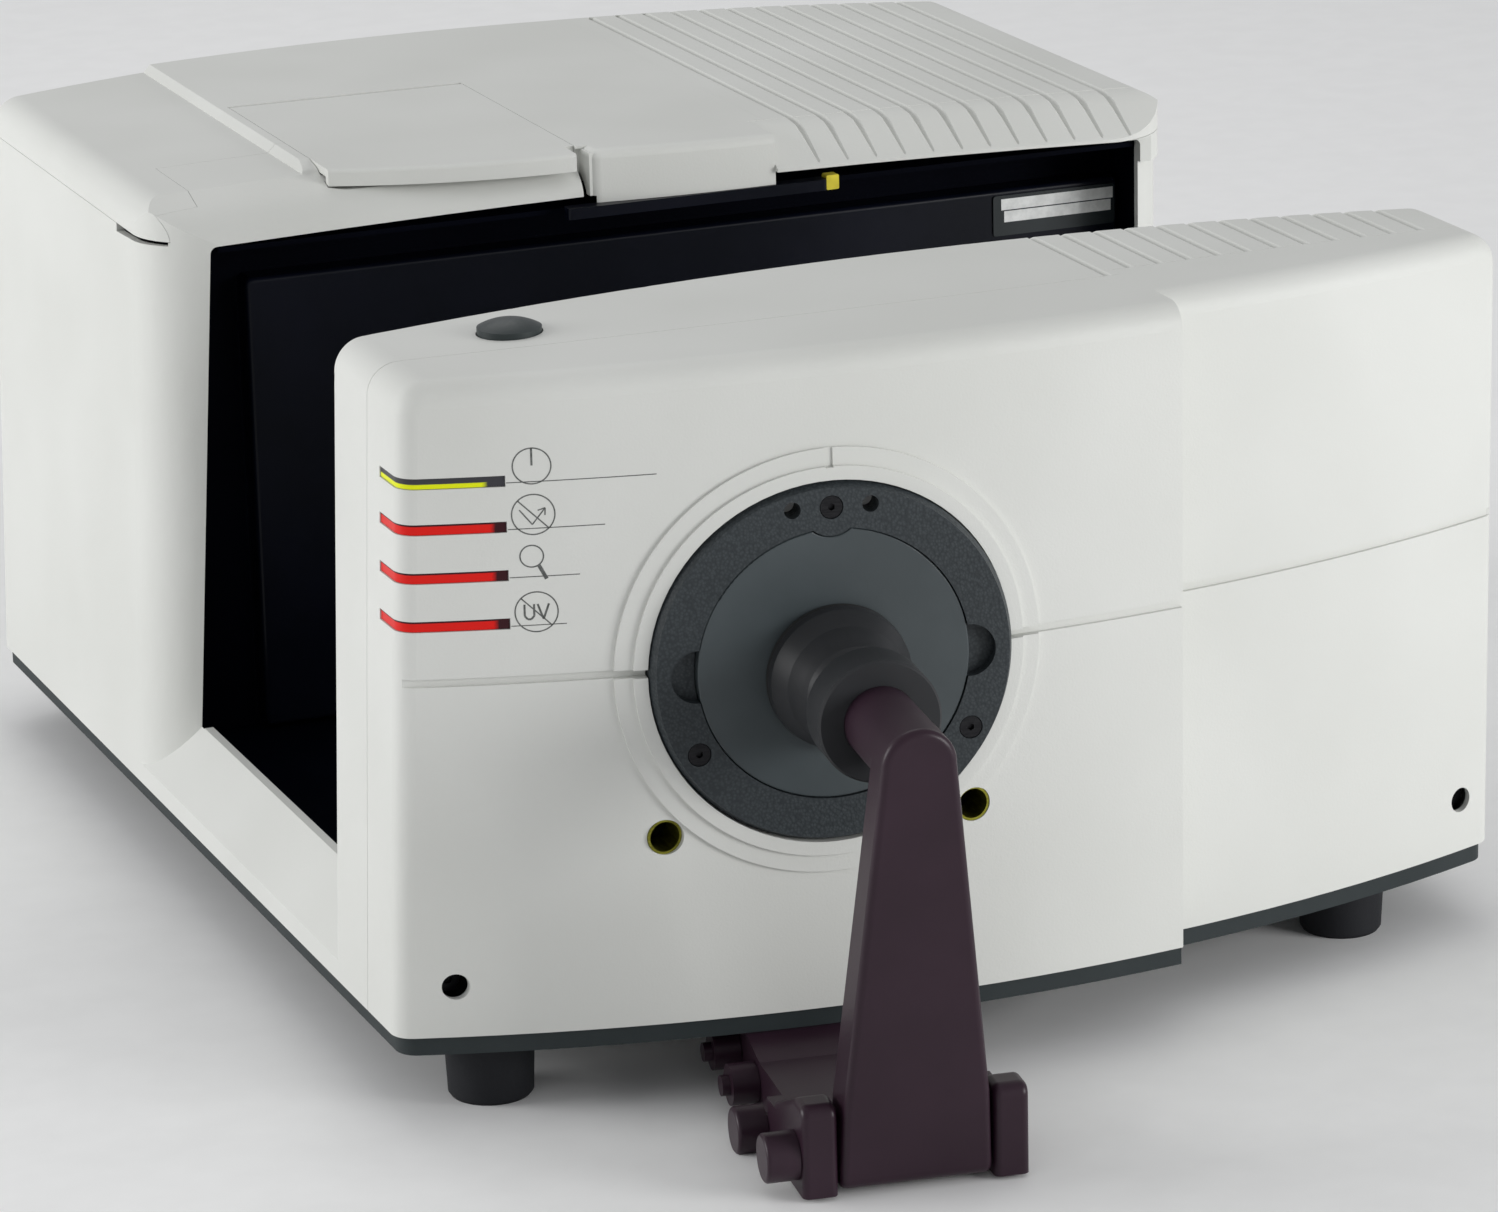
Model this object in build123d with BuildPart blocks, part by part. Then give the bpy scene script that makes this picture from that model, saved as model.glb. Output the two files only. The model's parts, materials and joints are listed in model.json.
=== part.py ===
"""Benchtop integrating-sphere colorimeter with an open transmission compartment and a swing-down sample
clamp. Millimetres, +Z up, floor at Z = 0, front (measuring port) towards -Y, X centred on the case."""

import os
from math import cos, radians, sin

from build123d import *

os.makedirs("parts", exist_ok=True)

# ---- case ----------------------------------------------------------------------------------------
FOOT_H = 25.0           # rubber feet lift the pan this far off the bench
TOP_Z = 275.0           # crown of the case at mid width
SIDE_Z = 271.0          # top of the case at its sides
TRIM_Z = 32.0           # lower edge of the light mouldings, above the dark pan
HALF_ARC = 219.4        # half width at which the bows and the crown are measured
WIDE_ARC = 240.0        # half width to which the bowed faces are drawn before the sides cut them
FRONT_Y = -200.0        # front corners; the front bows forward of this line
FRONT_SAG = 40.0        # bow of the front cover
SET_BACK = 16.0         # the right-hand part of the front cover sits back by this
STEP_X = 67.0           # where it starts
BOX_END_Y = FRONT_Y + 71.0     # rear of the front tower at the sides
BOX_END_SAG = 14.0             # and its bow
SEAM_Y = FRONT_Y + 33.0        # joint of front cover and housing at the sides
SEAM_SAG = 21.0
REAR_FACE_Y = FRONT_Y + 288.0  # front face of the rear section
BACK_Y = FRONT_Y + 522.0       # rear corners
BACK_SAG = 28.4
WALL = 3.0

# ---- measuring port (its own tilted frame, x right, y up, z outwards) ----------------------------
PORT_TILT = 8.0
PORT_X = -70.9
PORT_Z = 162.0
PLATE_R = 49.4
RING_R = 66.0
SPHERE_R = 50.0
SPHERE_OUT = -61.0
tilt_s = sin(radians(PORT_TILT))
tilt_c = cos(radians(PORT_TILT))
PORT = Plane(
    origin=(PORT_X, FRONT_Y - 39.9, PORT_Z), x_dir=(tilt_c, -tilt_s, 0), z_dir=(-tilt_s, -tilt_c, 0)
)

# ---- clamp, in the port frame --------------------------------------------------------------------
CLAMP_X = 1.0           # clamp centre line, right of the port centre
HEAD_Y = -4.0           # axis of the pressure pad
PIVOT_Y = -147.5        # arm pivot, above the bench at -162
PIVOT_OUT = 84.5
PAN_UNDER_Y = FOOT_H - PORT_Z

# ---- lid and grooves -----------------------------------------------------------------------------
PLATEAU_X = -145.4
LID_X0 = -138.3
LID_X1 = -36.9
LID_NOTCH_X = -41.0     # its right front corner is notched back from here
LID_NOTCH_Y = FRONT_Y + 299.0
LID_HINGE_Y = FRONT_Y + 430.0
BAND_X1 = -37.0         # right end of the band under the lid
TONGUE_X0 = -34.3
TONGUE_X1 = 43.3
BROW_Y = FRONT_Y + 280.0       # the brow right of the tongue overhangs the rear face
CREASE_Y = FRONT_Y + 304.5
GROOVE_X0 = 62.0
GROOVE_PITCH = 12.6
GROOVE_N = 12
GROOVE_XS = [GROOVE_X0 + GROOVE_PITCH * i for i in range(GROOVE_N)]


def left_x(z, inset=0.0):
    """Left wall at a height; it leans in towards the top."""
    return -224.8 + (z - FOOT_H) * 10.4 / 250.0 + inset


def right_x(z, inset=0.0):
    """Right wall, which stands plumb."""
    return 224.8 - inset


def crown(x):
    """Height of the crowned top at a station across."""
    return TOP_Z - (TOP_Z - SIDE_Z) * (x / HALF_ARC) ** 2


def save(builder, name):
    """Label a finished piece and write it."""
    builder.part.label = name
    export_step(builder.part, f"parts/{name}.step")


def wall_sketch(inset, low_z, radius, lift=0.0):
    """Cross-section of the case across its width: drafted sides, crowned top, round shoulders."""
    side = SIDE_Z - inset + lift
    with BuildSketch(Plane.XZ) as section:
        with BuildLine():
            Line((left_x(low_z, inset), low_z), (left_x(side, inset), side))
            ThreePointArc(
                (left_x(side, inset), side), (0, TOP_Z - inset + lift), (right_x(side, inset), side),
            )
            Line((right_x(side, inset), side), (right_x(low_z, inset), low_z))
            Line((right_x(low_z, inset), low_z), (left_x(low_z, inset), low_z))
        make_face()
        fillet(section.vertices().sort_by(Axis.Y)[-2:], radius)
    return section.sketch


def bow_block(x0, x1, front_y, sag, end_y, end_sag, low_z=0.0, high_z=320.0):
    """Upright block between two bowed faces; x0 and x1 cut it off across."""
    front_end = front_y - sag + sag * (WIDE_ARC / HALF_ARC) ** 2
    back_end = end_y + end_sag - end_sag * (WIDE_ARC / HALF_ARC) ** 2
    with BuildPart() as block:
        with BuildSketch(Plane.XY.offset(low_z)):
            with BuildLine():
                ThreePointArc((-WIDE_ARC, front_end), (0, front_y - sag), (WIDE_ARC, front_end))
                Line((WIDE_ARC, front_end), (WIDE_ARC, back_end))
                ThreePointArc((WIDE_ARC, back_end), (0, end_y + end_sag), (-WIDE_ARC, back_end))
                Line((-WIDE_ARC, back_end), (-WIDE_ARC, front_end))
            make_face()
            with Locations(((x0 + x1) / 2, 50)):
                Rectangle(x1 - x0, 1200, mode=Mode.INTERSECT)
        extrude(amount=high_z - low_z)
    return block.part


def tower_half(x0, x1, set_back, inset, edge_r):
    """One side of the front tower: bowed front, drafted walls, crowned top, rounded front edges."""
    low = TRIM_Z - inset
    section = wall_sketch(inset, low - 4, 12.0 - inset)
    front = FRONT_Y + set_back + inset
    with BuildPart() as half:
        add(bow_block(x0, x1, front, FRONT_SAG, BOX_END_Y - inset, BOX_END_SAG, low, 300.0))
        extrude(section, amount=600, both=True, mode=Mode.INTERSECT)
        face = half.faces().sort_by(Axis.Y)[0]
        rim = [e for e in face.edges() if e.center().Z > low + 1 and abs(e.center().X - STEP_X) > 12]
        fillet(rim, edge_r)
        back = half.faces().sort_by(Axis.Y)[-1]
        rim = [e for e in back.edges() if e.center().Z > TOP_Z - 20]
        rim = [e for e in rim if e.length > 60]
        fillet(rim, 5.0 if inset == 0 else 2.5)
    return half.part


def tower(inset, edge_r):
    """Both sides of the front tower, with the step between them."""
    with BuildPart() as whole:
        add(tower_half(-240, STEP_X - inset, 0.0, inset, edge_r))
        add(tower_half(STEP_X - inset - 5, 240, SET_BACK, inset, edge_r))
    return whole.part


def seam_block(shift):
    """Everything in front of the joint between front cover and housing."""
    with BuildPart() as block:
        with BuildSketch():
            with BuildLine():
                ThreePointArc(
                    (-HALF_ARC, SEAM_Y + shift), (-HALF_ARC / 2, SEAM_Y - SEAM_SAG * 0.75 + shift),
                    (STEP_X, SEAM_Y - SEAM_SAG * 0.907 + shift),
                )
                Line((STEP_X, SEAM_Y - SEAM_SAG * 0.907 + shift), (STEP_X, SEAM_Y - 12 + shift))
                Line((STEP_X, SEAM_Y - 12 + shift), (HALF_ARC, SEAM_Y + 2 + shift))
                Line((HALF_ARC, SEAM_Y + 2 + shift), (260, SEAM_Y + 2 + shift))
                Line((260, SEAM_Y + 2 + shift), (260, -320))
                Line((260, -320), (-260, -320))
                Line((-260, -320), (-260, SEAM_Y + shift))
                Line((-260, SEAM_Y + shift), (-HALF_ARC, SEAM_Y + shift))
            make_face()
        extrude(amount=320)
    return block.part


def port_disc(radius, low_out, high_out):
    """Round block on the port axis between two distances out from the plate face."""
    with BuildPart() as disc:
        with BuildSketch(PORT.offset(low_out)):
            Circle(radius)
        extrude(amount=high_out - low_out)
    return disc.part


def side_plane(x):
    """Sketch plane of a side profile: x runs outwards from the port, y up."""
    return Plane(origin=PORT.from_local_coords((x, 0, 0)), x_dir=PORT.z_dir, z_dir=-PORT.x_dir)


def port_level(y):
    """Level sketch plane at a height in the port frame: x runs across the port, y inwards."""
    return Plane(origin=PORT.from_local_coords((CLAMP_X, y, 0)), x_dir=PORT.x_dir, z_dir=(0, 0, 1))


def dome_mid(radius, rise, at):
    """Drop below the apex of a shallow dome, at a distance off its axis."""
    ball = (radius ** 2 + rise ** 2) / (2 * rise)
    return ball - (ball ** 2 - at ** 2) ** 0.5


def x_rod(y, out, radius, x0, x1):
    """Round bar parallel to the clamp pivot, in the port frame."""
    start = PORT.from_local_coords((x0, y, out))
    with BuildPart() as rod:
        with BuildSketch(Plane(origin=start, x_dir=(0, 0, 1), z_dir=PORT.x_dir)):
            Circle(radius)
        extrude(amount=x1 - x0)
    return rod.part


tower_outer = tower(0.0, 9.0)
tower_inner = tower(WALL, 6.0)

# ---- front cover: bowed shell with stepped rings round the port, a shallow belt groove and grooves on top
pad_low = bow_block(-240, 240, FRONT_Y - 1.4, FRONT_SAG, FRONT_Y + 40, 0.5)
pad_high = bow_block(-240, 240, FRONT_Y - 2.8, FRONT_SAG, FRONT_Y + 40, 0.5)
belt_left = bow_block(-240, STEP_X, FRONT_Y + 1.6, FRONT_SAG, FRONT_Y + 200, 1.0)
belt_right = bow_block(STEP_X, 240, FRONT_Y + SET_BACK + 1.6, FRONT_SAG, FRONT_Y + 200, 1.0)
disc_78 = port_disc(78.0, -30, 40)
disc_71 = port_disc(71.5, -30, 40)

with BuildPart() as belt_ring:
    with BuildSketch(Plane.XY.offset(162.4)):
        Rectangle(460, 900)
    extrude(amount=3.0)
    add(belt_left, mode=Mode.SUBTRACT)
    add(belt_right, mode=Mode.SUBTRACT)
    add(disc_78, mode=Mode.SUBTRACT)
    with BuildSketch(Plane.XY.offset(160)):
        with Locations((0, 218)):
            Rectangle(600, 800)
    extrude(amount=10, mode=Mode.SUBTRACT)

with BuildPart() as ring_pads:
    add(pad_low)
    add(disc_78, mode=Mode.INTERSECT)
with BuildPart() as ring_pads_high:
    add(pad_high)
    add(disc_71, mode=Mode.INTERSECT)

with BuildPart() as front_cover:
    add(tower_outer)
    add(ring_pads.part)
    add(ring_pads_high.part)
    add(seam_block(0.0), mode=Mode.INTERSECT)
    add(tower_inner, mode=Mode.SUBTRACT)
    add(belt_ring.part, mode=Mode.SUBTRACT)
    # bore that lets the port ring through
    with BuildSketch(PORT.offset(-60)):
        Circle(RING_R + 0.5)
    extrude(amount=90, mode=Mode.SUBTRACT)
    # index notches across the stepped rings at 9, 12 and 3 o'clock
    with BuildSketch(PORT.offset(-7.4)):
        with Locations((-75, 1.9), (75, 1.9)):
            Rectangle(8, 3)
    extrude(amount=20, mode=Mode.SUBTRACT)
    with BuildSketch(PORT.offset(-3.2)):
        with Locations((0, 75)):
            Rectangle(3, 8)
    extrude(amount=20, mode=Mode.SUBTRACT)
    # two accessory holes under the port and two deep cover-screw recesses
    with BuildSketch(Plane.XZ.offset(-FRONT_Y - 20)):
        with Locations((-130.9, 102.2), (-18.1, 101.8)):
            Circle(6.5)
    extrude(amount=80, mode=Mode.SUBTRACT)
    with BuildSketch(Plane.XZ.offset(-FRONT_Y - 40)):
        with Locations((-204.0, 51.0), (208.5, 52.5)):
            Circle(4.8)
    extrude(amount=60, mode=Mode.SUBTRACT)
    # indicator windows wrapping the front left corner
    for z in (236.0, 219.5, 202.0, 184.5):
        with BuildSketch(Plane.XY.offset(z - 2.0)):
            with Locations((-206.2, FRONT_Y + 2)):
                Rectangle(50, 34)
        extrude(amount=4.0, mode=Mode.SUBTRACT)
save(front_cover, "front_cover")


# ---- status lights: light guides that fill the four windows --------------------------------------
guide_outer = tower(0.5, 8.5)
guide_inner = tower(WALL + 1.6, 5.0)
for name, z in (
    ("power_light", 236.0), ("specular_light", 219.5), ("lens_light", 202.0), ("uv_light", 184.5),
):
    with BuildPart() as light:
        with BuildSketch(Plane.XY.offset(z - 1.8)):
            with Locations((-206.4, FRONT_Y + 2)):
                Rectangle(50, 33.6)
        extrude(amount=3.6)
        add(guide_outer, mode=Mode.INTERSECT)
        add(guide_inner, mode=Mode.SUBTRACT)
    save(light, name)

# ---- rear section: drafted box with a bowed back and a raised plate right of the left shoulder ------
CORNER_R = 28.0         # plan rounding of its front corners
BACK_TOP_R = 9.0


def corner_tool(side, inset):
    """Waste outside a front corner of the rear section, following the draft of the wall."""
    radius = CORNER_R - inset
    front = REAR_FACE_Y + inset
    mid = radius * (1 - cos(radians(45)))
    with BuildPart() as tool:
        for z in (20.0, 300.0):
            x = left_x(z, inset) if side < 0 else right_x(z, inset)
            inner = x - side * radius
            with BuildSketch(Plane.XY.offset(z)):
                with BuildLine():
                    ThreePointArc((x, front + radius), (x - side * mid, front + mid), (inner, front))
                    Polyline(
                        (inner, front), (inner, front - 20), (x + side * 20, front - 20),
                        (x + side * 20, front + radius), (x, front + radius),
                    )
                make_face()
        loft(ruled=True)
    return tool.part


def rear_plan(inset, high_z):
    """Upright block with the bowed back of the rear section."""
    back = BACK_Y - 5.5 - inset
    with BuildPart() as block:
        with BuildSketch(Plane.XY.offset(TRIM_Z - inset)):
            with BuildLine():
                Line((-240, REAR_FACE_Y + inset), (240, REAR_FACE_Y + inset))
                Line((240, REAR_FACE_Y + inset), (240, back))
                ThreePointArc((240, back), (0, BACK_Y + BACK_SAG - inset), (-240, back))
                Line((-240, back), (-240, REAR_FACE_Y + inset))
            make_face()
        extrude(amount=high_z - TRIM_Z + inset)
    return block.part


def round_back(block, radius, x0, x1):
    """Edges between the bowed back and the top and sides of a block."""
    back = block.faces().sort_by(Axis.Y)[-1]
    rim = [e for e in back.edges() if e.center().Z > TRIM_Z + 2 and x0 < e.center().X < x1]
    fillet(rim, radius)


def rear_shape(inset):
    """Rear box under its crowned top."""
    with BuildPart() as shape:
        add(rear_plan(inset, 300.0))
        extrude(
            wall_sketch(inset, TRIM_Z - inset - 4, 12.0 - inset), amount=600, both=True,
            mode=Mode.INTERSECT,
        )
        round_back(shape, BACK_TOP_R - inset, -240, 240)
        add(corner_tool(-1, inset), mode=Mode.SUBTRACT)
        add(corner_tool(1, inset), mode=Mode.SUBTRACT)
    return shape.part


def plate_z(x):
    """Height of the raised plate, which runs out into the crown at its right edge."""
    return 275.695 - 0.012467 * x - 0.0000524 * x * x


PLATE_X1 = 50.0


def plate_sketch():
    """Section of the plate across the case: bowed top that dips into the crown at its right edge."""
    with BuildSketch(Plane.XZ) as section:
        with BuildLine():
            Line((PLATEAU_X, 200), (PLATEAU_X, plate_z(PLATEAU_X)))
            ThreePointArc(
                (PLATEAU_X, plate_z(PLATEAU_X)), (-42, plate_z(-42)), (PLATE_X1, plate_z(PLATE_X1)),
            )
            Line((PLATE_X1, plate_z(PLATE_X1)), (PLATE_X1 + 12, plate_z(PLATE_X1) - 1.4))
            Line((PLATE_X1 + 12, plate_z(PLATE_X1) - 1.4), (PLATE_X1 + 12, 200))
            Line((PLATE_X1 + 12, 200), (PLATEAU_X, 200))
        make_face()
    return section.sketch


with BuildPart() as plateau:
    add(rear_plan(BACK_TOP_R, 300.0))
    extrude(plate_sketch(), amount=600, both=True, mode=Mode.INTERSECT)
    left_top = plateau.edges().filter_by(lambda e: abs(e.center().X - PLATEAU_X) < 0.2)
    chamfer([e for e in left_top if e.center().Z > TOP_Z - 6 and e.length > 150], 2.9)

COVER_Z = 256.4          # joint of rear cover and housing on the walls


def opening_z(x):
    """Upper edge of the compartment opening left of the tongue."""
    return 257.6 - 3.2 * (x / 190.0) ** 2


def brow_z(x):
    """Lower edge of the brow right of the tongue."""
    return 260.4 - 4.2 * (x / 200.0) ** 2


def lid_front(x):
    """Front edge of the lid, a shallow bow in plan."""
    return FRONT_Y + 284.0 + 0.00214 * (x + 45.0) ** 2


def tongue_front(x):
    """Front face of the tongue."""
    return FRONT_Y + 282.3 + 34.0 * ((x - 30.6) / 177.0) ** 2


def left_band_tool(x1, shift):
    """Waste over the curved band from the left wall to a station; shift offsets it inwards."""
    y = REAR_FACE_Y + shift
    with BuildPart() as tool:
        for x in (-245.0, -190.0, -138.0, x1):
            z = opening_z(x) - shift
            with BuildSketch(Plane.YZ.offset(x)):
                with BuildLine():
                    Spline(
                        (y, z), (y + 3, z + 6.2), (y + 8, z + 10.4), (y + 14.5, z + 13.6), (y + 25, z + 17.2),
                        (y + 42, z + 21.2), tangents=((0.1, 1.0), (1.0, 0.15)),
                    )
                    Polyline(
                        (y + 42, z + 21.2), (y + 42, z + 60), (y - 30, z + 60), (y - 30, z - 1.0),
                        (y, z - 1.0), (y, z),
                    )
                make_face()
        loft(ruled=True)
    return tool.part


def right_band_tool(x0, shift):
    """Waste over the sloping band right of a station; shift offsets it inwards."""
    with BuildPart() as tool:
        for x in (x0, 130.0, 191.8, 245.0):
            top = crown(x) - shift
            low = brow_z(x) + 0.8 - shift
            with BuildSketch(Plane.YZ.offset(x)):
                with BuildLine():
                    Line((BROW_Y - 1 + shift, low), (CREASE_Y - 6 + shift, top - 3.1))
                    ThreePointArc(
                        (CREASE_Y - 6 + shift, top - 3.1), (CREASE_Y + shift + 0.2, top - 0.7),
                        (CREASE_Y + 7 + shift, top),
                    )
                    Polyline(
                        (CREASE_Y + 7 + shift, top), (CREASE_Y + 7 + shift, 320), (BROW_Y - 20, 320),
                        (BROW_Y - 20, low), (BROW_Y - 1 + shift, low),
                    )
                make_face()
        loft(ruled=True)
    return tool.part


# brow that overhangs the compartment right of the tongue
with BuildPart() as brow:
    with BuildSketch(Plane.XY.offset(245)):
        with BuildLine():
            Line((TONGUE_X1, BROW_Y), (191.8, BROW_Y))
            ThreePointArc((191.8, BROW_Y), (215.1, BROW_Y + 9.7), (224.8, BROW_Y + 33))
            Polyline((224.8, BROW_Y + 33), (190, BROW_Y + 33), (TONGUE_X1, BROW_Y + 12), (TONGUE_X1, BROW_Y))
        make_face()
    extrude(amount=40)
    extrude(wall_sketch(0.0, 200, 12.0), amount=600, both=True, mode=Mode.INTERSECT)
    with BuildSketch(Plane.XZ.offset(-REAR_FACE_Y)):
        with BuildLine():
            ThreePointArc((20, brow_z(20)), (130, brow_z(130)), (240, brow_z(240)))
            Polyline((240, brow_z(240)), (240, 200), (20, 200), (20, brow_z(20)))
        make_face()
    extrude(amount=40, mode=Mode.SUBTRACT)

with BuildPart() as rear_hollow:
    add(rear_shape(WALL))
    add(left_band_tool(LID_X1 + 3, 3.0), mode=Mode.SUBTRACT)
    add(right_band_tool(TONGUE_X1 - 3, 3.0), mode=Mode.SUBTRACT)
    # lower ceiling under the lid recess, lower still under its lip
    for low, back in ((270.0, LID_HINGE_Y + 6), (266.0, FRONT_Y + 309)):
        with BuildSketch(Plane.XY.offset(low)):
            with Locations(((LID_X0 + LID_X1) / 2, (FRONT_Y + 280 + back) / 2)):
                Rectangle(LID_X1 - LID_X0 + 6, back - FRONT_Y - 280)
        extrude(amount=15, mode=Mode.SUBTRACT)

with BuildPart() as rear_outer:
    add(rear_shape(0.0))
    add(plateau.part)
    add(brow.part)
    add(left_band_tool(LID_X1 + 0.25, 0.0), mode=Mode.SUBTRACT)
    add(right_band_tool(TONGUE_X1, 0.0), mode=Mode.SUBTRACT)
    # gap between the end of the band and the tongue
    with BuildSketch(Plane.XY.offset(250)):
        with Locations(((BAND_X1 + TONGUE_X0) / 2, REAR_FACE_Y + 1)):
            Rectangle(TONGUE_X0 - BAND_X1, 20)
    extrude(amount=25, mode=Mode.SUBTRACT)

# tongue of the cover that hangs over the compartment, right of the lid
with BuildPart() as tongue:
    with BuildSketch(Plane.XY.offset(254.8)):
        with BuildLine():
            ThreePointArc(
                (TONGUE_X0, tongue_front(TONGUE_X0)), (8.0, tongue_front(8.0)),
                (TONGUE_X1, tongue_front(TONGUE_X1)),
            )
            Polyline(
                (TONGUE_X1, tongue_front(TONGUE_X1)), (TONGUE_X1, REAR_FACE_Y + 20),
                (TONGUE_X0, REAR_FACE_Y + 20), (TONGUE_X0, tongue_front(TONGUE_X0)),
            )
        make_face()
    extrude(amount=30)
    extrude(plate_sketch(), amount=600, both=True, mode=Mode.INTERSECT)
    left_front = tongue.edges().filter_by(Axis.Z).sort_by(Axis.Y)[:2].sort_by(Axis.X)[0]
    fillet(left_front, 5.0)
    front = tongue.faces().sort_by(Axis.Y)[0]
    fillet([e for e in front.edges() if e.center().Z > 272], 3.5)
    with BuildSketch(Plane.XY.offset(250)):
        with Locations((6, REAR_FACE_Y + 14)):
            Rectangle(200, 28)
    extrude(amount=COVER_Z + 2.0 - 250, mode=Mode.SUBTRACT)


def opening_prism():
    """Opening of the rear body towards the compartment."""
    with BuildPart() as prism:
        with BuildSketch(Plane.XZ.offset(-REAR_FACE_Y - 12)) as hole:
            with BuildLine():
                Polyline((-205.2, 31), (-205.2, 60), (-192.0, opening_z(-192)))
                ThreePointArc(
                    (-192.0, opening_z(-192)), (-80.0, opening_z(-80)), (TONGUE_X1, opening_z(TONGUE_X1)),
                )
                Line((TONGUE_X1, opening_z(TONGUE_X1)), (TONGUE_X1, 258.8))
                ThreePointArc((TONGUE_X1, 258.8), (130, 257.2), (208.3, 254.9))
                Polyline((208.3, 254.9), (208.3, 60), (205.2, 60), (205.2, 31), (-205.2, 31))
            make_face()
            corners = hole.vertices().filter_by(lambda v: abs(v.Y - 254.6) < 1.2)
            fillet(corners, 3.0)
        extrude(amount=13)
    return prism.part


def cover_zone(gap):
    """Space the rear cover takes: all above the wall joint, behind its stepped front seam."""
    with BuildPart() as zone:
        with BuildSketch(Plane.YZ.offset(-260)):
            with BuildLine():
                Spline(
                    (FRONT_Y + 295.5 - gap, COVER_Z - gap), (FRONT_Y + 297.5 - gap, 262.5),
                    (FRONT_Y + 302.5 - gap, 268.0), (FRONT_Y + 314.5 - gap, 273.2),
                )
                Polyline(
                    (FRONT_Y + 314.5 - gap, 273.2), (FRONT_Y + 314.5 - gap, 320), (500, 320),
                    (500, COVER_Z - gap), (FRONT_Y + 295.5 - gap, COVER_Z - gap),
                )
            make_face()
        extrude(amount=260 - 192.6 + gap)
        for x0, x1, y0 in (
            (-192.7, LID_X1, FRONT_Y + 357), (LID_X1 - 0.1, 260, REAR_FACE_Y - 30),
        ):
            with BuildSketch(Plane.XY.offset(COVER_Z - gap)):
                with Locations(((x0 + x1) / 2, (y0 - gap + 500) / 2)):
                    Rectangle(x1 - x0, 500 - y0 + gap)
            extrude(amount=80)
    return zone.part


# lid frame: x along the chord of the plate, hinge line at the rear edge
lid_left = plate_z(LID_X0)
lid_right = plate_z(LID_X1)
LID_T = 3.2
LID_W = LID_X1 - LID_X0
LID = Plane(
    origin=(LID_X1, LID_HINGE_Y, lid_right - LID_T / 2), x_dir=(0, -1, 0),
    z_dir=(-LID_W, 0, lid_left - lid_right),
)


def lid_outline(inset, back_y):
    """Plan of the lid with its bowed front edge and notched corner."""
    x0 = LID_X0 + inset
    x1 = LID_NOTCH_X - inset
    with BuildPart() as outline:
        with BuildSketch(Plane.XY.offset(240)):
            with BuildLine():
                ThreePointArc(
                    (x0, lid_front(x0) + inset), (-90.0, lid_front(-90.0) + inset), (x1, lid_front(x1) + inset),
                )
                Polyline(
                    (x1, lid_front(x1) + inset), (x1, LID_NOTCH_Y + inset), (LID_X1 - inset, LID_NOTCH_Y + inset),
                    (LID_X1 - inset, back_y), (x0, back_y), (x0, lid_front(x0) + inset),
                )
            make_face()
        extrude(amount=60)
    return outline.part


with BuildPart() as top_lid:
    with BuildSketch(LID):
        with BuildLine():
            Line((0, LID_T / 2), (160, LID_T / 2))
            Line((160, LID_T / 2), (160, -LID_T / 2))
            Line((160, -LID_T / 2), (0, -LID_T / 2))
            ThreePointArc((0, -LID_T / 2), (-LID_T / 2, 0), (0, LID_T / 2))
        make_face()
    extrude(amount=LID_W)
    with BuildSketch(LID):
        with BuildLine():
            Polyline((124, -1), (160, -1), (160, -5.9), (124, -4.9), (124, -1))
        make_face()
    extrude(amount=LID_W)
    add(lid_outline(0.0, 400.0), mode=Mode.INTERSECT)
    with BuildSketch(LID):
        with BuildLine():
            Polyline((60, -LID_T / 2), (160, -LID_T / 2), (160, -20), (60, -20), (60, -LID_T / 2))
        make_face()
    cut_under = extrude(amount=LID_W, mode=Mode.PRIVATE)
    add(cut_under & lid_outline(2.6, 400.0), mode=Mode.SUBTRACT)
    # bore for the hinge pin
    with BuildSketch(LID):
        Circle(0.85)
    extrude(amount=LID_W, mode=Mode.SUBTRACT)
    front_top = top_lid.edges().filter_by(lambda e: e.length > 90 and e.center().Z > 275)
    fillet(front_top.sort_by(Axis.Y)[0], 1.4)
save(top_lid, "top_lid")

with BuildPart() as lid_pin:
    with BuildSketch(LID.offset(-2.0)):
        Circle(0.8)
    extrude(amount=LID_W + 4.0)
save(lid_pin, "lid_hinge_pin")

with BuildPart() as lid_recess:
    # lowered seat of the lid, deeper under its lip
    with BuildSketch(Plane.XY.offset(272.4)):
        with Locations((LID_X0 + LID_W / 2, (FRONT_Y + 306 + LID_HINGE_Y) / 2)):
            Rectangle(LID_W + 0.6, LID_HINGE_Y - FRONT_Y - 306)
    extrude(amount=12)
    with BuildSketch(Plane.XY.offset(268.4)):
        with BuildLine():
            ThreePointArc(
                (LID_X0 - 0.4, lid_front(LID_X0) - 0.4), (-85.0, lid_front(-85.0) - 0.4),
                (LID_X1 + 0.3, lid_front(LID_X1) - 0.4),
            )
            Polyline(
                (LID_X1 + 0.3, lid_front(LID_X1) - 0.4), (LID_X1 + 0.3, FRONT_Y + 307),
                (LID_X0 - 0.4, FRONT_Y + 307), (LID_X0 - 0.4, lid_front(LID_X0) - 0.4),
            )
        make_face()
    extrude(amount=16)
    with BuildSketch(LID.offset(-0.5)):
        Circle(LID_T / 2 + 0.4)
        with Locations((-1.3, 2.5)):
            Rectangle(2.6, 5)
    extrude(amount=LID_W + 1.0)
    with BuildSketch(Plane.XY.offset(260)):
        with Locations((LID_X0 + LID_W / 2, FRONT_Y + 394)):
            RectangleRounded(84, 52, 6)
    extrude(amount=18)
    with BuildSketch(LID.offset(-2.1)):
        Circle(0.9)
    extrude(amount=LID_W + 4.2)

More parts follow.
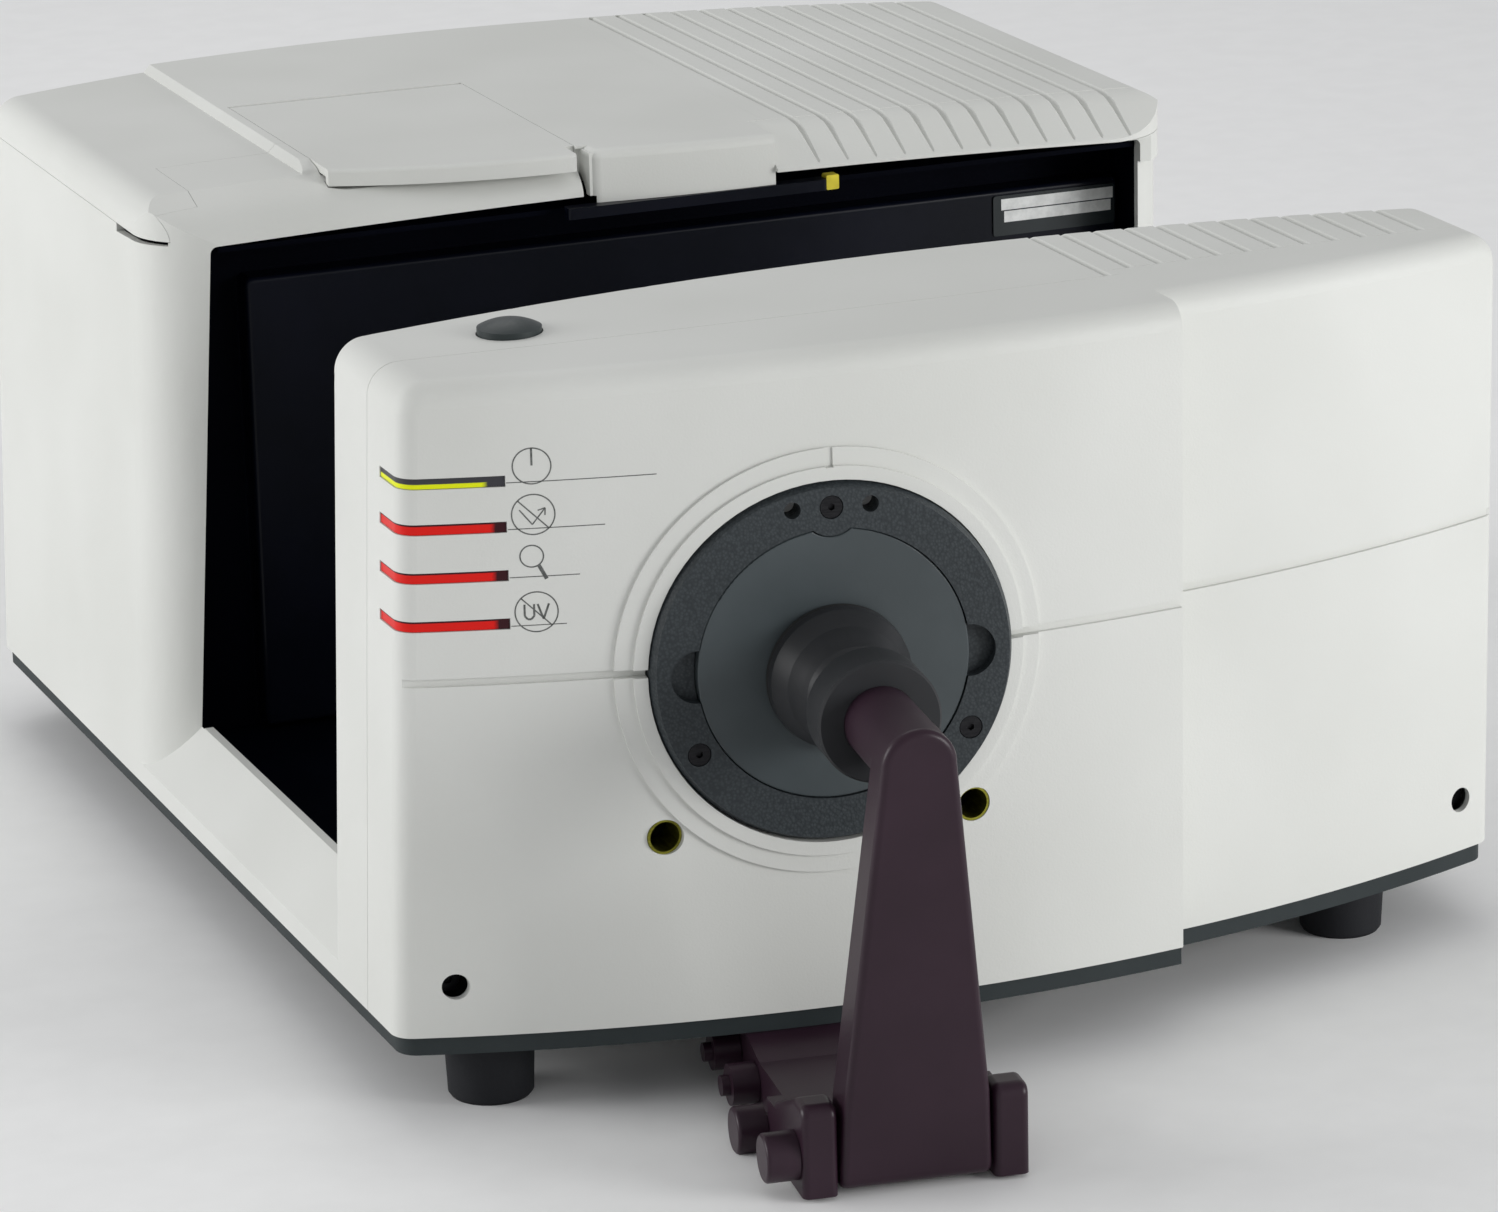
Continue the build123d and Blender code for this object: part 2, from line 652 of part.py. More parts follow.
with BuildPart() as groove_tools:
    # vee grooves along the crown that turn down over the front band
    for x in GROOVE_XS:
        top = crown(x) - 1.6
        low = brow_z(x) + 1.8
        with BuildSketch(Plane.YZ.offset(x)):
            with BuildLine():
                Polyline(
                    (FRONT_Y + 540, top), (CREASE_Y + 7.5, top), (CREASE_Y - 0.3, top - 0.8),
                    (CREASE_Y - 6.8, top - 3.6), (BROW_Y + 2.5, low), (BROW_Y - 4, low + 0.4),
                    (BROW_Y - 12, low + 10), (BROW_Y - 12, 290), (FRONT_Y + 540, 290), (FRONT_Y + 540, top),
                )
            make_face()
        extrude(amount=2.8, both=True, taper=45)

with BuildPart() as rear_cover:
    add(rear_outer.part)
    add(tongue.part)
    add(cover_zone(0.0), mode=Mode.INTERSECT)
    add(tongue.part)
    add(rear_hollow.part, mode=Mode.SUBTRACT)
    add(opening_prism(), mode=Mode.SUBTRACT)
    add(lid_recess.part, mode=Mode.SUBTRACT)
    add(groove_tools.part, mode=Mode.SUBTRACT)
save(rear_cover, "rear_cover")


# ---- housing: tower rear part, side skirts and the framed rear body in one moulding --------------
def skirt(side):
    """Low side rail that joins tower and rear body under the compartment opening."""
    out = 224.5 if side < 0 else 224.8
    with BuildPart() as rail:
        with BuildSketch(Plane.XZ.offset(-(BOX_END_Y - 8))):
            with BuildLine():
                Polyline(
                    (side * out, TRIM_Z), (side * (out - 0.3), 40), (side * 205, 60), (side * 201.5, 60),
                    (side * 201.5, 57.5), (side * (out - 3.7), 38.5), (side * (out - 3.2), TRIM_Z),
                    (side * out, TRIM_Z),
                )
            make_face()
        extrude(amount=-(REAR_FACE_Y + 30 - BOX_END_Y + 8))
    return rail.part


with BuildPart() as main_housing:
    add(tower_outer)
    add(seam_block(0.3), mode=Mode.SUBTRACT)
    add(rear_outer.part)
    add(cover_zone(0.2), mode=Mode.SUBTRACT)
    add(skirt(-1))
    add(skirt(1))
    add(tower_inner, mode=Mode.SUBTRACT)
    add(rear_hollow.part, mode=Mode.SUBTRACT)
    add(opening_prism(), mode=Mode.SUBTRACT)
    add(lid_recess.part, mode=Mode.SUBTRACT)
    # room for the compartment liner between the posts
    with BuildSketch(Plane.XY.offset(41.7)):
        with Locations((7.0, REAR_FACE_Y + 28.2)):
            Rectangle(418.6, 32.6)
    extrude(amount=211.6, mode=Mode.SUBTRACT)
    # passage for the chassis under the rear wall of the tower
    with BuildSketch(Plane.XY.offset(20)):
        with Locations((0, BOX_END_Y + 6)):
            Rectangle(402, 30)
    extrude(amount=22.0, mode=Mode.SUBTRACT)
    # bore for the sample beam in the rear wall of the tower
    with BuildSketch(PORT.offset(-135)):
        Circle(17.5)
    extrude(amount=25, mode=Mode.SUBTRACT)
    # seat of the read button
    with BuildSketch(Plane.XY.offset(250)):
        with Locations((-157.1, FRONT_Y + 45)):
            Circle(12.0)
    extrude(amount=30, mode=Mode.SUBTRACT)
    # the same grooves on the crown of the tower, behind the front cover
    for x in GROOVE_XS:
        with BuildSketch(Plane.XZ.offset(-SEAM_Y - 90)):
            with Locations((x, crown(x) - 1.6)):
                Polygon((0, 0), (3, 3), (-3, 3), align=None)
        extrude(amount=130, mode=Mode.SUBTRACT)
    # opening for the connector panel in the bowed back
    with BuildSketch(Plane.XZ.offset(-BACK_Y - 40)):
        with Locations((0, 100)):
            RectangleRounded(210, 96, 5)
    extrude(amount=60, mode=Mode.SUBTRACT)
    # ventilation slots in the right wall
    with BuildSketch(Plane.YZ.offset(210)):
        with GridLocations(11, 0, 12, 1):
            with Locations((220, 120)):
                SlotOverall(60, 4.5, rotation=90)
    extrude(amount=30, mode=Mode.SUBTRACT)
    # pry slot under the cover corner on the left wall
    with BuildSketch(Plane.YZ.offset(-230)):
        with BuildLine():
            Polyline(
                (FRONT_Y + 296, COVER_Z + 0.1), (FRONT_Y + 338, COVER_Z + 0.1), (FRONT_Y + 338, COVER_Z - 3.5),
                (FRONT_Y + 296, COVER_Z - 1.6), (FRONT_Y + 296, COVER_Z + 0.1),
            )
        make_face()
    extrude(amount=30, mode=Mode.SUBTRACT)
save(main_housing, "main_housing")

# ---- base pan and feet ---------------------------------------------------------------------------
def pan_shape(inset, low_z, high_z):
    """Plan of the dark pan, stepped like the front cover above it."""
    with BuildPart() as shape:
        left = bow_block(-222.6 + inset, STEP_X - inset, FRONT_Y + 1.5 + inset, FRONT_SAG,
                         BACK_Y - 2 - inset, BACK_SAG, low_z, high_z)
        right = bow_block(STEP_X - inset - 5, 222.4 - inset, FRONT_Y + SET_BACK + 1.5 + inset, FRONT_SAG,
                          BACK_Y - 2 - inset, BACK_SAG, low_z, high_z)
        add(left)
        add(right)
        fillet(shape.edges().filter_by(Axis.Z).filter_by(lambda e: abs(e.center().X) > 200), 9.0 - inset / 2)
    return shape.part


FEET = ((-184.4, -183.0), (169.6, -165.0), (-180.0, 284.0), (180.0, 284.0))

with BuildPart() as base_pan:
    add(pan_shape(0.0, FOOT_H, TRIM_Z - 0.2))
    add(pan_shape(3.5, FOOT_H + 3, TRIM_Z + 5), mode=Mode.SUBTRACT)
    with BuildSketch(Plane.XY.offset(FOOT_H)):
        with Locations(*FEET):
            Circle(2.6)
        with GridLocations(12, 26, 10, 2):
            with Locations((60, 180)):
                SlotOverall(20, 4, rotation=90)
    extrude(amount=4, mode=Mode.SUBTRACT)
    with BuildSketch(port_level(-150)):
        with Locations((-22, 20), (22, 20), (-22, 50), (22, 50)):
            Circle(2.2)
    extrude(amount=30, mode=Mode.SUBTRACT)
save(base_pan, "base_pan")

with BuildPart() as one_foot:
    with BuildSketch(Plane.XZ):
        with BuildLine():
            Polyline(
                (2.2, 18), (7, 18), (7, 3), (10.5, 0), (14.6, 0), (15.6, 1.4), (16.6, 23.0), (15.6, FOOT_H),
                (2.2, FOOT_H), (2.2, 18),
            )
        make_face()
    revolve(axis=Axis.Z)
with BuildPart() as feet:
    with Locations(*FEET):
        add(one_foot.part)
save(feet, "rubber_feet")
with BuildPart() as foot_screws:
    for x, y in FEET:
        with BuildSketch(Plane.XY.offset(FOOT_H - 7.0)):
            with Locations((x, y)):
                Circle(4.5)
        extrude(amount=-2.8)
        with BuildSketch(Plane.XY.offset(FOOT_H - 7.0)):
            with Locations((x, y)):
                Circle(1.9)
        extrude(amount=14)
save(foot_screws, "foot_screws")

# ---- measuring port ------------------------------------------------------------------------------
NOTCH_R = 10.4          # lobe of the ring round the top screw
SCREW_PCD_R = 57.2
with BuildPart() as ring_bore:
    with BuildSketch(PORT.offset(-12)):
        Circle(PLATE_R + 0.3)
        with Locations((0, SCREW_PCD_R)):
            Circle(NOTCH_R, mode=Mode.SUBTRACT)
    extrude(amount=20)

with BuildPart() as port_ring:
    with BuildSketch(PORT.offset(-9.0)):
        Circle(RING_R)
    extrude(amount=5.5)
    with BuildSketch(PORT.offset(-3.5)):
        Circle(RING_R)
    extrude(amount=4.0, taper=24)
    add(ring_bore.part, mode=Mode.SUBTRACT)
    # countersunk screw seats, two plain pin holes, finger scoops at 9 and 3 o'clock
    with BuildSketch(PORT.offset(-9.0)):
        with PolarLocations(SCREW_PCD_R, 3, 90):
            Circle(2.4)
    extrude(amount=12, mode=Mode.SUBTRACT)
    with BuildSketch(PORT.offset(-2.2)):
        with PolarLocations(SCREW_PCD_R, 3, 90):
            Circle(4.3)
    extrude(amount=6, mode=Mode.SUBTRACT)
    with BuildSketch(PORT.offset(-9.0)):
        with Locations((-14.1, 57.2), (14.1, 57.2)):
            Circle(3.0)
    extrude(amount=12, mode=Mode.SUBTRACT)
    with BuildSketch(PORT.offset(-4.2)):
        with Locations((-49.4, 0), (49.4, 0)):
            Circle(9.6)
    extrude(amount=12, mode=Mode.SUBTRACT)
save(port_ring, "port_ring")

with BuildPart() as port_screws:
    with BuildSketch(PORT.offset(-14.0)):
        with PolarLocations(SCREW_PCD_R, 3, 90):
            Circle(2.0)
    extrude(amount=12.0)
    with BuildSketch(PORT.offset(-2.0)):
        with PolarLocations(SCREW_PCD_R, 3, 90):
            Circle(4.0)
    extrude(amount=2.2)
    with BuildSketch(PORT.offset(-1.4)):
        with PolarLocations(SCREW_PCD_R, 3, 90):
            RegularPolygon(1.35, 6)
    extrude(amount=3, mode=Mode.SUBTRACT)
save(port_screws, "port_screws")

with BuildPart() as port_plate:
    with BuildSketch(PORT.offset(-5.8)):
        Circle(PLATE_R)
        with Locations((0, SCREW_PCD_R)):
            Circle(NOTCH_R + 0.4, mode=Mode.SUBTRACT)
    extrude(amount=5.8)
    rim = port_plate.faces().sort_by(Axis.Y)[0]
    fillet(rim.edges(), 0.6)
    with BuildSketch(PORT.offset(-7)):
        Circle(12.7)
    extrude(amount=10, mode=Mode.SUBTRACT)
    round_edges = port_plate.edges().filter_by(GeomType.CIRCLE)
    chamfer(round_edges.filter_by(lambda e: abs(e.radius - 12.7) < 0.1), 1.5)
save(port_plate, "port_plate")

# ---- integrating sphere, split across the port axis ----------------------------------------------
SPHERE_C = PORT.from_local_coords((0, 0, SPHERE_OUT))
SHELL_R = SPHERE_R + 3.5


def on_sphere(radius, off_axis, sign):
    """Point of a section through the sphere at a distance off the port axis."""
    return (SPHERE_OUT + sign * (radius ** 2 - off_axis ** 2) ** 0.5, off_axis)


def sphere_half(sign, mouth_r, shell_end_r):
    """One half: sign +1 carries the port flange, -1 the beam tube."""
    split_in = (SPHERE_OUT, SPHERE_R)
    split_out = (SPHERE_OUT, 58.5)
    with BuildPart() as half:
        with BuildSketch(side_plane(0)):
            with BuildLine():
                ThreePointArc(split_in, on_sphere(SPHERE_R, 40, sign), on_sphere(SPHERE_R, mouth_r, sign))
                if sign > 0:
                    Polyline(
                        on_sphere(SPHERE_R, mouth_r, 1), (-9.2, mouth_r), (-9.2, 62.5), (-15, 62.5),
                        (-15, 40),
                        on_sphere(SHELL_R, shell_end_r, 1),
                    )
                else:
                    Polyline(
                        on_sphere(SPHERE_R, mouth_r, -1), (-126, mouth_r), (-126, shell_end_r),
                        on_sphere(SHELL_R, shell_end_r, -1),
                    )
                ThreePointArc(
                    on_sphere(SHELL_R, shell_end_r, sign), on_sphere(SHELL_R, 47, sign),
                    on_sphere(SHELL_R, 53.4, sign),
                )
                Polyline(
                    on_sphere(SHELL_R, 53.4, sign), (SPHERE_OUT + sign * 3.29, 58.5), split_out, split_in,
                )
            make_face()
        revolve(axis=Axis(PORT.origin, PORT.z_dir))
        if sign > 0:
            with BuildSketch(PORT.offset(-15.5)):
                with PolarLocations(SCREW_PCD_R, 3, 90):
                    Circle(2.1)
            extrude(amount=8, mode=Mode.SUBTRACT)
        # lamp port on top, on the split plane
        with BuildSketch(Plane.XY.offset(PORT_Z + 30)):
            with Locations((SPHERE_C.X, SPHERE_C.Y)):
                Circle(11.2)
        extrude(amount=60, mode=Mode.SUBTRACT)
    return half


save(sphere_half(1, 15.0, 40.0), "sphere_front_half")
save(sphere_half(-1, 14.0, 16.8), "sphere_rear_half")

# ---- flash lamp over the sphere, with its condenser tube and the sliding ultraviolet filter ------
LAMP_X, LAMP_Y = SPHERE_C.X, SPHERE_C.Y
with BuildPart() as lamp_house:
    with BuildSketch(Plane.XY.offset(229)):
        with Locations((LAMP_X, LAMP_Y)):
            RectangleRounded(52, 40, 4)
    extrude(amount=30)
    for i in range(6):
        with BuildSketch(Plane.XY.offset(241)):
            with Locations((LAMP_X - 22.5 + 9 * i, LAMP_Y)):
                Rectangle(4.6, 60)
                Rectangle(4.6, 28, mode=Mode.SUBTRACT)
        extrude(amount=30, mode=Mode.SUBTRACT)
    with BuildSketch(Plane.XY.offset(228)):
        with Locations((LAMP_X, LAMP_Y)):
            Circle(8.5)
    extrude(amount=25, mode=Mode.SUBTRACT)
save(lamp_house, "lamp_house")
with BuildPart() as lamp_tube:
    with BuildSketch(Plane.XY.offset(206.5)):
        with Locations((LAMP_X, LAMP_Y)):
            Circle(10.6)
            Circle(9.0, mode=Mode.SUBTRACT)
    extrude(amount=17.5)
    with BuildSketch(Plane.XY.offset(224)):
        with Locations((LAMP_X, LAMP_Y)):
            RectangleRounded(44, 34, 3)
            Rectangle(60, 20, mode=Mode.SUBTRACT)
    extrude(amount=4.8)
    with BuildSketch(Plane.XY.offset(222.4)):
        with Locations((LAMP_X, LAMP_Y)):
            RectangleRounded(44, 34, 3)
            Circle(9.0, mode=Mode.SUBTRACT)
    extrude(amount=1.6)
save(lamp_tube, "condenser_tube")
with BuildPart() as uv_filter:
    with BuildSketch(Plane.XY.offset(224.4)):
        with Locations((LAMP_X - 18, LAMP_Y)):
            RectangleRounded(52, 19.2, 2)
        with Locations((LAMP_X, LAMP_Y), (LAMP_X - 24, LAMP_Y)):
            Circle(8.2, mode=Mode.SUBTRACT)
    extrude(amount=3.0)
    with BuildSketch(Plane.XY.offset(225)):
        with Locations((LAMP_X - 24, LAMP_Y)):
            Circle(8.4)
    extrude(amount=1.6)
save(uv_filter, "uv_filter_slide")
with BuildPart() as flash_lamp:
    with BuildSketch(Plane.XY.offset(231)):
        with Locations((LAMP_X, LAMP_Y)):
            Circle(7.6)
    extrude(amount=16)
    fillet(flash_lamp.edges().sort_by(Axis.Z)[0], 3)
save(flash_lamp, "flash_lamp")

# ---- sample clamp --------------------------------------------------------------------------------
EAR_IN = 27.9
EAR_OUT = 40.5
BEAM_HALF = 35.0
with BuildPart() as bracket:
    # channel beam bolted under the pan
    with BuildSketch(side_plane(CLAMP_X)):
        with BuildLine():
            Polyline(
                (-66, PAN_UNDER_Y - 0.1), (-4, PAN_UNDER_Y - 0.1), (14, -141), (66, -141), (66, -160.4),
                (-52, -160.4), (-66, -146), (-66, PAN_UNDER_Y - 0.1),
            )
        make_face()
    extrude(amount=BEAM_HALF, both=True)
    with BuildSketch(side_plane(CLAMP_X)):
        with BuildLine():
            Polyline((-80, -142), (4, -142), (14, -146), (70, -146), (70, -170), (-80, -170), (-80, -142))
        make_face()
    extrude(amount=BEAM_HALF - 5, both=True, mode=Mode.SUBTRACT)
    # gusseted ears that carry the arm
    for x in (CLAMP_X - (EAR_IN + EAR_OUT) / 2, CLAMP_X + (EAR_IN + EAR_OUT) / 2):
        with BuildSketch(side_plane(x)) as ear:
            with BuildLine():
                Polyline(
                    (95, -160.4), (95, -127), (83, -127), (52, -141), (46, -141), (46, -160.4), (95, -160.4),
                )
            make_face()
            fillet(ear.vertices().group_by(Axis.Y)[-1], 4.5)
        extrude(amount=(EAR_OUT - EAR_IN) / 2, both=True)
    add(x_rod(PIVOT_Y, PIVOT_OUT, 4.05, -60, 60), mode=Mode.SUBTRACT)
    add(x_rod(-154.6, 40.4, 3.2, -60, 60), mode=Mode.SUBTRACT)
    # fixing holes up into the pan
    with BuildSketch(port_level(-150)):
        with Locations((-22, 20), (22, 20), (-22, 50), (22, 50)):
            Circle(2.2)
    extrude(amount=30, mode=Mode.SUBTRACT)
    # outer upright edges of the ears and the beam end
    fillet(bracket.edges().filter_by(Axis.Z).filter_by(lambda e: e.length > 20 and e.center().Y < -290), 2.5)
save(bracket, "clamp_bracket")

with BuildPart() as bracket_screws:
    with BuildSketch(port_level(-145.2)):
        with Locations((-22, 20), (22, 20), (-22, 50), (22, 50)):
            Circle(4.2)
    extrude(amount=3.1)
    with BuildSketch(port_level(-143)):
        with Locations((-22, 20), (22, 20), (-22, 50), (22, 50)):
            Circle(2.0)
    extrude(amount=13)
save(bracket_screws, "bracket_screws")



def knob_rim(pin):
    """Outer edge of the knob on a pin's left end."""
    return pin.edges().filter_by(GeomType.CIRCLE).filter_by(lambda e: e.radius > 8).sort_by(Axis.X)[0]


with BuildPart() as pivot_pin:
    add(x_rod(PIVOT_Y, PIVOT_OUT, 4.0, -41.0, CLAMP_X + EAR_OUT - 1.5))
    add(x_rod(PIVOT_Y, PIVOT_OUT, 8.8, -51.5, CLAMP_X - EAR_OUT - 0.2))
    fillet(knob_rim(pivot_pin), 1.4)
save(pivot_pin, "clamp_pivot_pin")
with BuildPart() as side_pins:
    add(x_rod(-154.6, 40.4, 3.0, -34.3, 34.0))
    add(x_rod(-154.6, 40.4, 5.2, -40.0, CLAMP_X - BEAM_HALF - 0.2))
    add(x_rod(-154.6, 40.4, 8.6, -50.7, CLAMP_X - EAR_OUT - 0.3))
    for y, out, r in ((-150.5, 8.0, 7.6), (-147.5, -18.0, 7.0)):
        add(x_rod(y, out, r, -44.0, CLAMP_X - BEAM_HALF - 0.2))
        add(x_rod(y, out, r * 0.5, -47.0, -43.0))
    fillet(knob_rim(side_pins), 1.4)
save(side_pins, "bracket_side_pins")

ARM_TOP_OUT = 108.4
with BuildPart() as arm_face:
    with BuildSketch(PORT.offset(40)):
        with BuildLine():
            Polyline(
                (CLAMP_X - 27.2, -159.4), (CLAMP_X - 26.0, -128.0), (CLAMP_X - 13.2, HEAD_Y),
                (CLAMP_X + 13.2, HEAD_Y), (CLAMP_X + 26.0, -128.0), (CLAMP_X + 27.2, -159.4),
                (CLAMP_X - 27.2, -159.4),
            )
        make_face()
        with Locations((CLAMP_X, HEAD_Y)):
            Circle(13.2)
    extrude(amount=90)
with BuildPart() as arm_slab:
    with BuildSketch(side_plane(CLAMP_X)) as slab:
        with BuildLine():
            Polyline(
                (95.0, -159.4), (ARM_TOP_OUT, 12), (ARM_TOP_OUT - 16.5, 12), (77.5, -145), (77.5, -159.4),
                (95.0, -159.4),
            )
        make_face()
        fillet(slab.vertices().group_by(Axis.Y)[0].sort_by(Axis.X), 5.0)
    extrude(amount=40, both=True)
with BuildPart() as clamp_arm:
    add(arm_slab.part)
    add(arm_face.part, mode=Mode.INTERSECT)
    outer = clamp_arm.faces().sort_by(Axis.Y)[0]
    fillet([e for e in outer.edges() if e.center().Z > 12], 2.6)
    # boss that carries the plunger, relieved for its guide rod
    with BuildSketch(PORT.offset(49.0)):
        with Locations((CLAMP_X, HEAD_Y)):
            Circle(13.0)
    extrude(amount=48.0)
    with BuildSketch(PORT.offset(48.0)):
        with Locations((CLAMP_X, HEAD_Y)):
            Circle(5.08)
    extrude(amount=30.0, mode=Mode.SUBTRACT)
    add(x_rod(PIVOT_Y, PIVOT_OUT, 4.05, -60, 60), mode=Mode.SUBTRACT)
    # pocket in the back of the arm, seen when it is swung out
    with BuildSketch(PORT.offset(60)):
        with BuildLine():
            Polyline(
                (CLAMP_X - 17, -130), (CLAMP_X - 8, -40), (CLAMP_X + 8, -40), (CLAMP_X + 17, -130),
                (CLAMP_X - 17, -130),
            )
        make_face()
    extrude(amount=28, mode=Mode.SUBTRACT)
save(clamp_arm, "clamp_arm")

with BuildPart() as plunger:
    with BuildSketch(side_plane(CLAMP_X)):
        with BuildLine():
            Polyline(
                (57, HEAD_Y + 13.08), (57, HEAD_Y + 21.2), (56.2, HEAD_Y + 22), (40.5, HEAD_Y + 22),
                (38, HEAD_Y + 20.0), (37, HEAD_Y + 15.5), (27.5, HEAD_Y + 14.0), (27.5, HEAD_Y + 6.2),
                (8.0, HEAD_Y + 6.2), (8.0, HEAD_Y), (70.0, HEAD_Y), (70.0, HEAD_Y + 5.0),
                (41.5, HEAD_Y + 5.0), (41.5, HEAD_Y + 13.08), (57, HEAD_Y + 13.08),
            )
        make_face()
    revolve(axis=Axis(PORT.from_local_coords((CLAMP_X, HEAD_Y, 0)), PORT.z_dir))
save(plunger, "clamp_plunger")

with BuildPart() as pad:
    with BuildSketch(side_plane(CLAMP_X)):
        with BuildLine():
            Polyline(
                (3.0, HEAD_Y + 26.0), (6.5, HEAD_Y + 25.6), (14, HEAD_Y + 21.6), (22, HEAD_Y + 18.6),
                (25.0, HEAD_Y + 17.6), (27.2, HEAD_Y + 16.2), (27.2, HEAD_Y + 6.28), (7.6, HEAD_Y + 6.28),
                (7.6, HEAD_Y), (4.5, HEAD_Y), (4.5, HEAD_Y + 22), (3.0, HEAD_Y + 22.5), (3.0, HEAD_Y + 26.0),
            )
        make_face()
    revolve(axis=Axis(PORT.from_local_coords((CLAMP_X, HEAD_Y, 0)), PORT.z_dir))
save(pad, "clamp_pad")
with BuildPart() as facing:
    with BuildSketch(PORT.offset(0.4)):
        with Locations((CLAMP_X, HEAD_Y)):
            Circle(25.9)
            Circle(9, mode=Mode.SUBTRACT)
    extrude(amount=2.5)
    with BuildSketch(PORT.offset(2.9)):
        with Locations((CLAMP_X, HEAD_Y)):
            Circle(21.8)
            Circle(9, mode=Mode.SUBTRACT)
    extrude(amount=1.5)
save(facing, "pad_facing")


def coil(plane, x, y, height, radius, wire, turns, name):
    """Open compression spring standing on a plane, round an axis at x, y of that plane."""
    with BuildPart() as spring:
        with BuildLine():
            path = Helix(height / turns, height, radius)
        with BuildSketch(Plane(origin=path @ 0, z_dir=path % 0)):
            Circle(wire)
        sweep(path=path, is_frenet=True)
    spring.part = spring.part.moved(Location((x, y, wire)))
    spring.part = plane.location * spring.part
    save(spring, name)


coil(PORT.offset(41.9), CLAMP_X, HEAD_Y, 5.6, 9.0, 0.75, 2.5, "plunger_spring")

# ---- read button ---------------------------------------------------------------------------------
BTN_X, BTN_Y = -157.1, FRONT_Y + 45
with BuildPart() as button:
    with BuildSketch(Plane.XZ):
        with BuildLine():
            Line((0, 277.9), (0, 248.0))
            Line((0, 248.0), (3.0, 248.0))
            Line((3.0, 248.0), (3.0, 266.0))
            Line((3.0, 266.0), (9.7, 266.0))
            Line((9.7, 266.0), (9.7, 262.0))
            Line((9.7, 262.0), (11.6, 262.0))
            Line((11.6, 262.0), (11.6, 274.9))
            ThreePointArc((11.6, 274.9), (6.6, 277.9 - dome_mid(11.6, 3.0, 6.6)), (0, 277.9))
        make_face()
    revolve(axis=Axis.Z)
button.part.position = (BTN_X, BTN_Y, 0)
save(button, "read_button")
with BuildPart() as button_guide:
    with BuildSketch(Plane.XZ):
        with BuildLine():
            Polyline(
                (3.07, 246), (13.2, 246), (13.2, 268.2), (12.1, 268.2), (12.1, 249), (3.07, 249), (3.07, 246),
            )
        make_face()
    revolve(axis=Axis.Z)
    with BuildSketch(Plane.XY.offset(258)):
        Rectangle(8, 60)
    extrude(amount=12, mode=Mode.SUBTRACT)
button_guide.part.position = (BTN_X, BTN_Y, 0)
save(button_guide, "button_guide")
coil(Plane.XY.offset(249.1), BTN_X, BTN_Y, 15.7, 6.5, 0.5, 5, "button_spring")

# ---- front trim ----------------------------------------------------------------------------------
def y_rod(x, z, radius, y0, y1, bore=0.0):
    """Round bar or bush parallel to Y."""
    with BuildPart() as rod:
        with BuildSketch(Plane.XZ.offset(-y1)):
            with Locations((x, z)):
                Circle(radius)
                if bore:
                    Circle(bore, mode=Mode.SUBTRACT)
        extrude(amount=y1 - y0)
    return rod.part


with BuildPart() as bushes:
    for x, z, y in ((-130.9, 102.2, -225.5), (-18.1, 101.8, -239.5)):
        add(y_rod(x, z, 6.4, y, y + 14, 5.5))
save(bushes, "accessory_bushes")

with BuildPart() as cover_screws:
    for x, z, y in ((-204.0, 51.0, -197.0), (208.5, 52.5, -181.0)):
        add(y_rod(x, z, 4.5, y, y + 3.2))
        add(y_rod(x, z, 2.0, y + 3.2, y + 18))
        with BuildSketch(Plane.XZ.offset(-y - 1.8)):
            with Locations((x, z)):
                RegularPolygon(1.9, 6)
        extrude(amount=4, mode=Mode.SUBTRACT)
save(cover_screws, "cover_screws")

with BuildPart() as front_board:
    with BuildSketch(Plane.XZ.offset(196.4)):
        with Locations((-186, 213)):
            RectangleRounded(46, 76, 3)
        with Locations((-204, 247), (-168, 247), (-204, 179), (-168, 179)):
            Circle(1.6, mode=Mode.SUBTRACT)
    extrude(amount=1.6)
    for z in (236.0, 219.5, 202.0, 184.5):
        with BuildSketch(Plane.XZ.offset(198.0)):
            with Locations((-200, z), (-193, z)):
                Rectangle(5, 3)
        extrude(amount=2.2)
    with BuildSketch(Plane.XZ.offset(193.4)):
        with Locations((-178, 212)):
            Rectangle(12, 12)
        with Locations((-178, 190)):
            Rectangle(20, 7)
    extrude(amount=3.0)
save(front_board, "front_board")

# ---- compartment ---------------------------------------------------------------------------------
tower_back = bow_block(-240, 240, FRONT_Y, FRONT_SAG, BOX_END_Y + 0.5, BOX_END_SAG, 20, 300)
with BuildPart() as liner:
    # floor with upstands inside the skirts, then the recess behind the frame
    with BuildSketch(Plane.XY.offset(42.0)):
        with Locations((0, (BOX_END_Y + 132) / 2)):
            Rectangle(396, 132 - BOX_END_Y)
    extrude(amount=2.0)
    for x in (-199.2, 199.2):
        with BuildSketch(Plane.XY.offset(42.0)):
            with Locations((x, (BOX_END_Y + REAR_FACE_Y) / 2)):
                Rectangle(2.4, REAR_FACE_Y - BOX_END_Y - 0.4)
        extrude(amount=15.0)
    with BuildSketch(Plane.XY.offset(42.0)):
        with Locations((7.0, 131)):
            Rectangle(418, 2.0)
    extrude(amount=211.0)
    with BuildSketch(Plane.XY.offset(251.0)):
        with Locations((9.5, 111.9)):
            Rectangle(395, 40.2)
        with Locations((7.0, 116.8)):
            Rectangle(418, 30.4)
    extrude(amount=2.0)
    with BuildSketch(Plane.XY.offset(42.0)):
        with Locations((-201.0, 116.8), (215.0, 116.8)):
            Rectangle(2.0, 30.4)
    extrude(amount=211.0)
    add(tower_back, mode=Mode.SUBTRACT)
    with BuildSketch(PORT.offset(-400)):
        Circle(17.5)
    extrude(amount=60, mode=Mode.SUBTRACT)
save(liner, "compartment_liner")

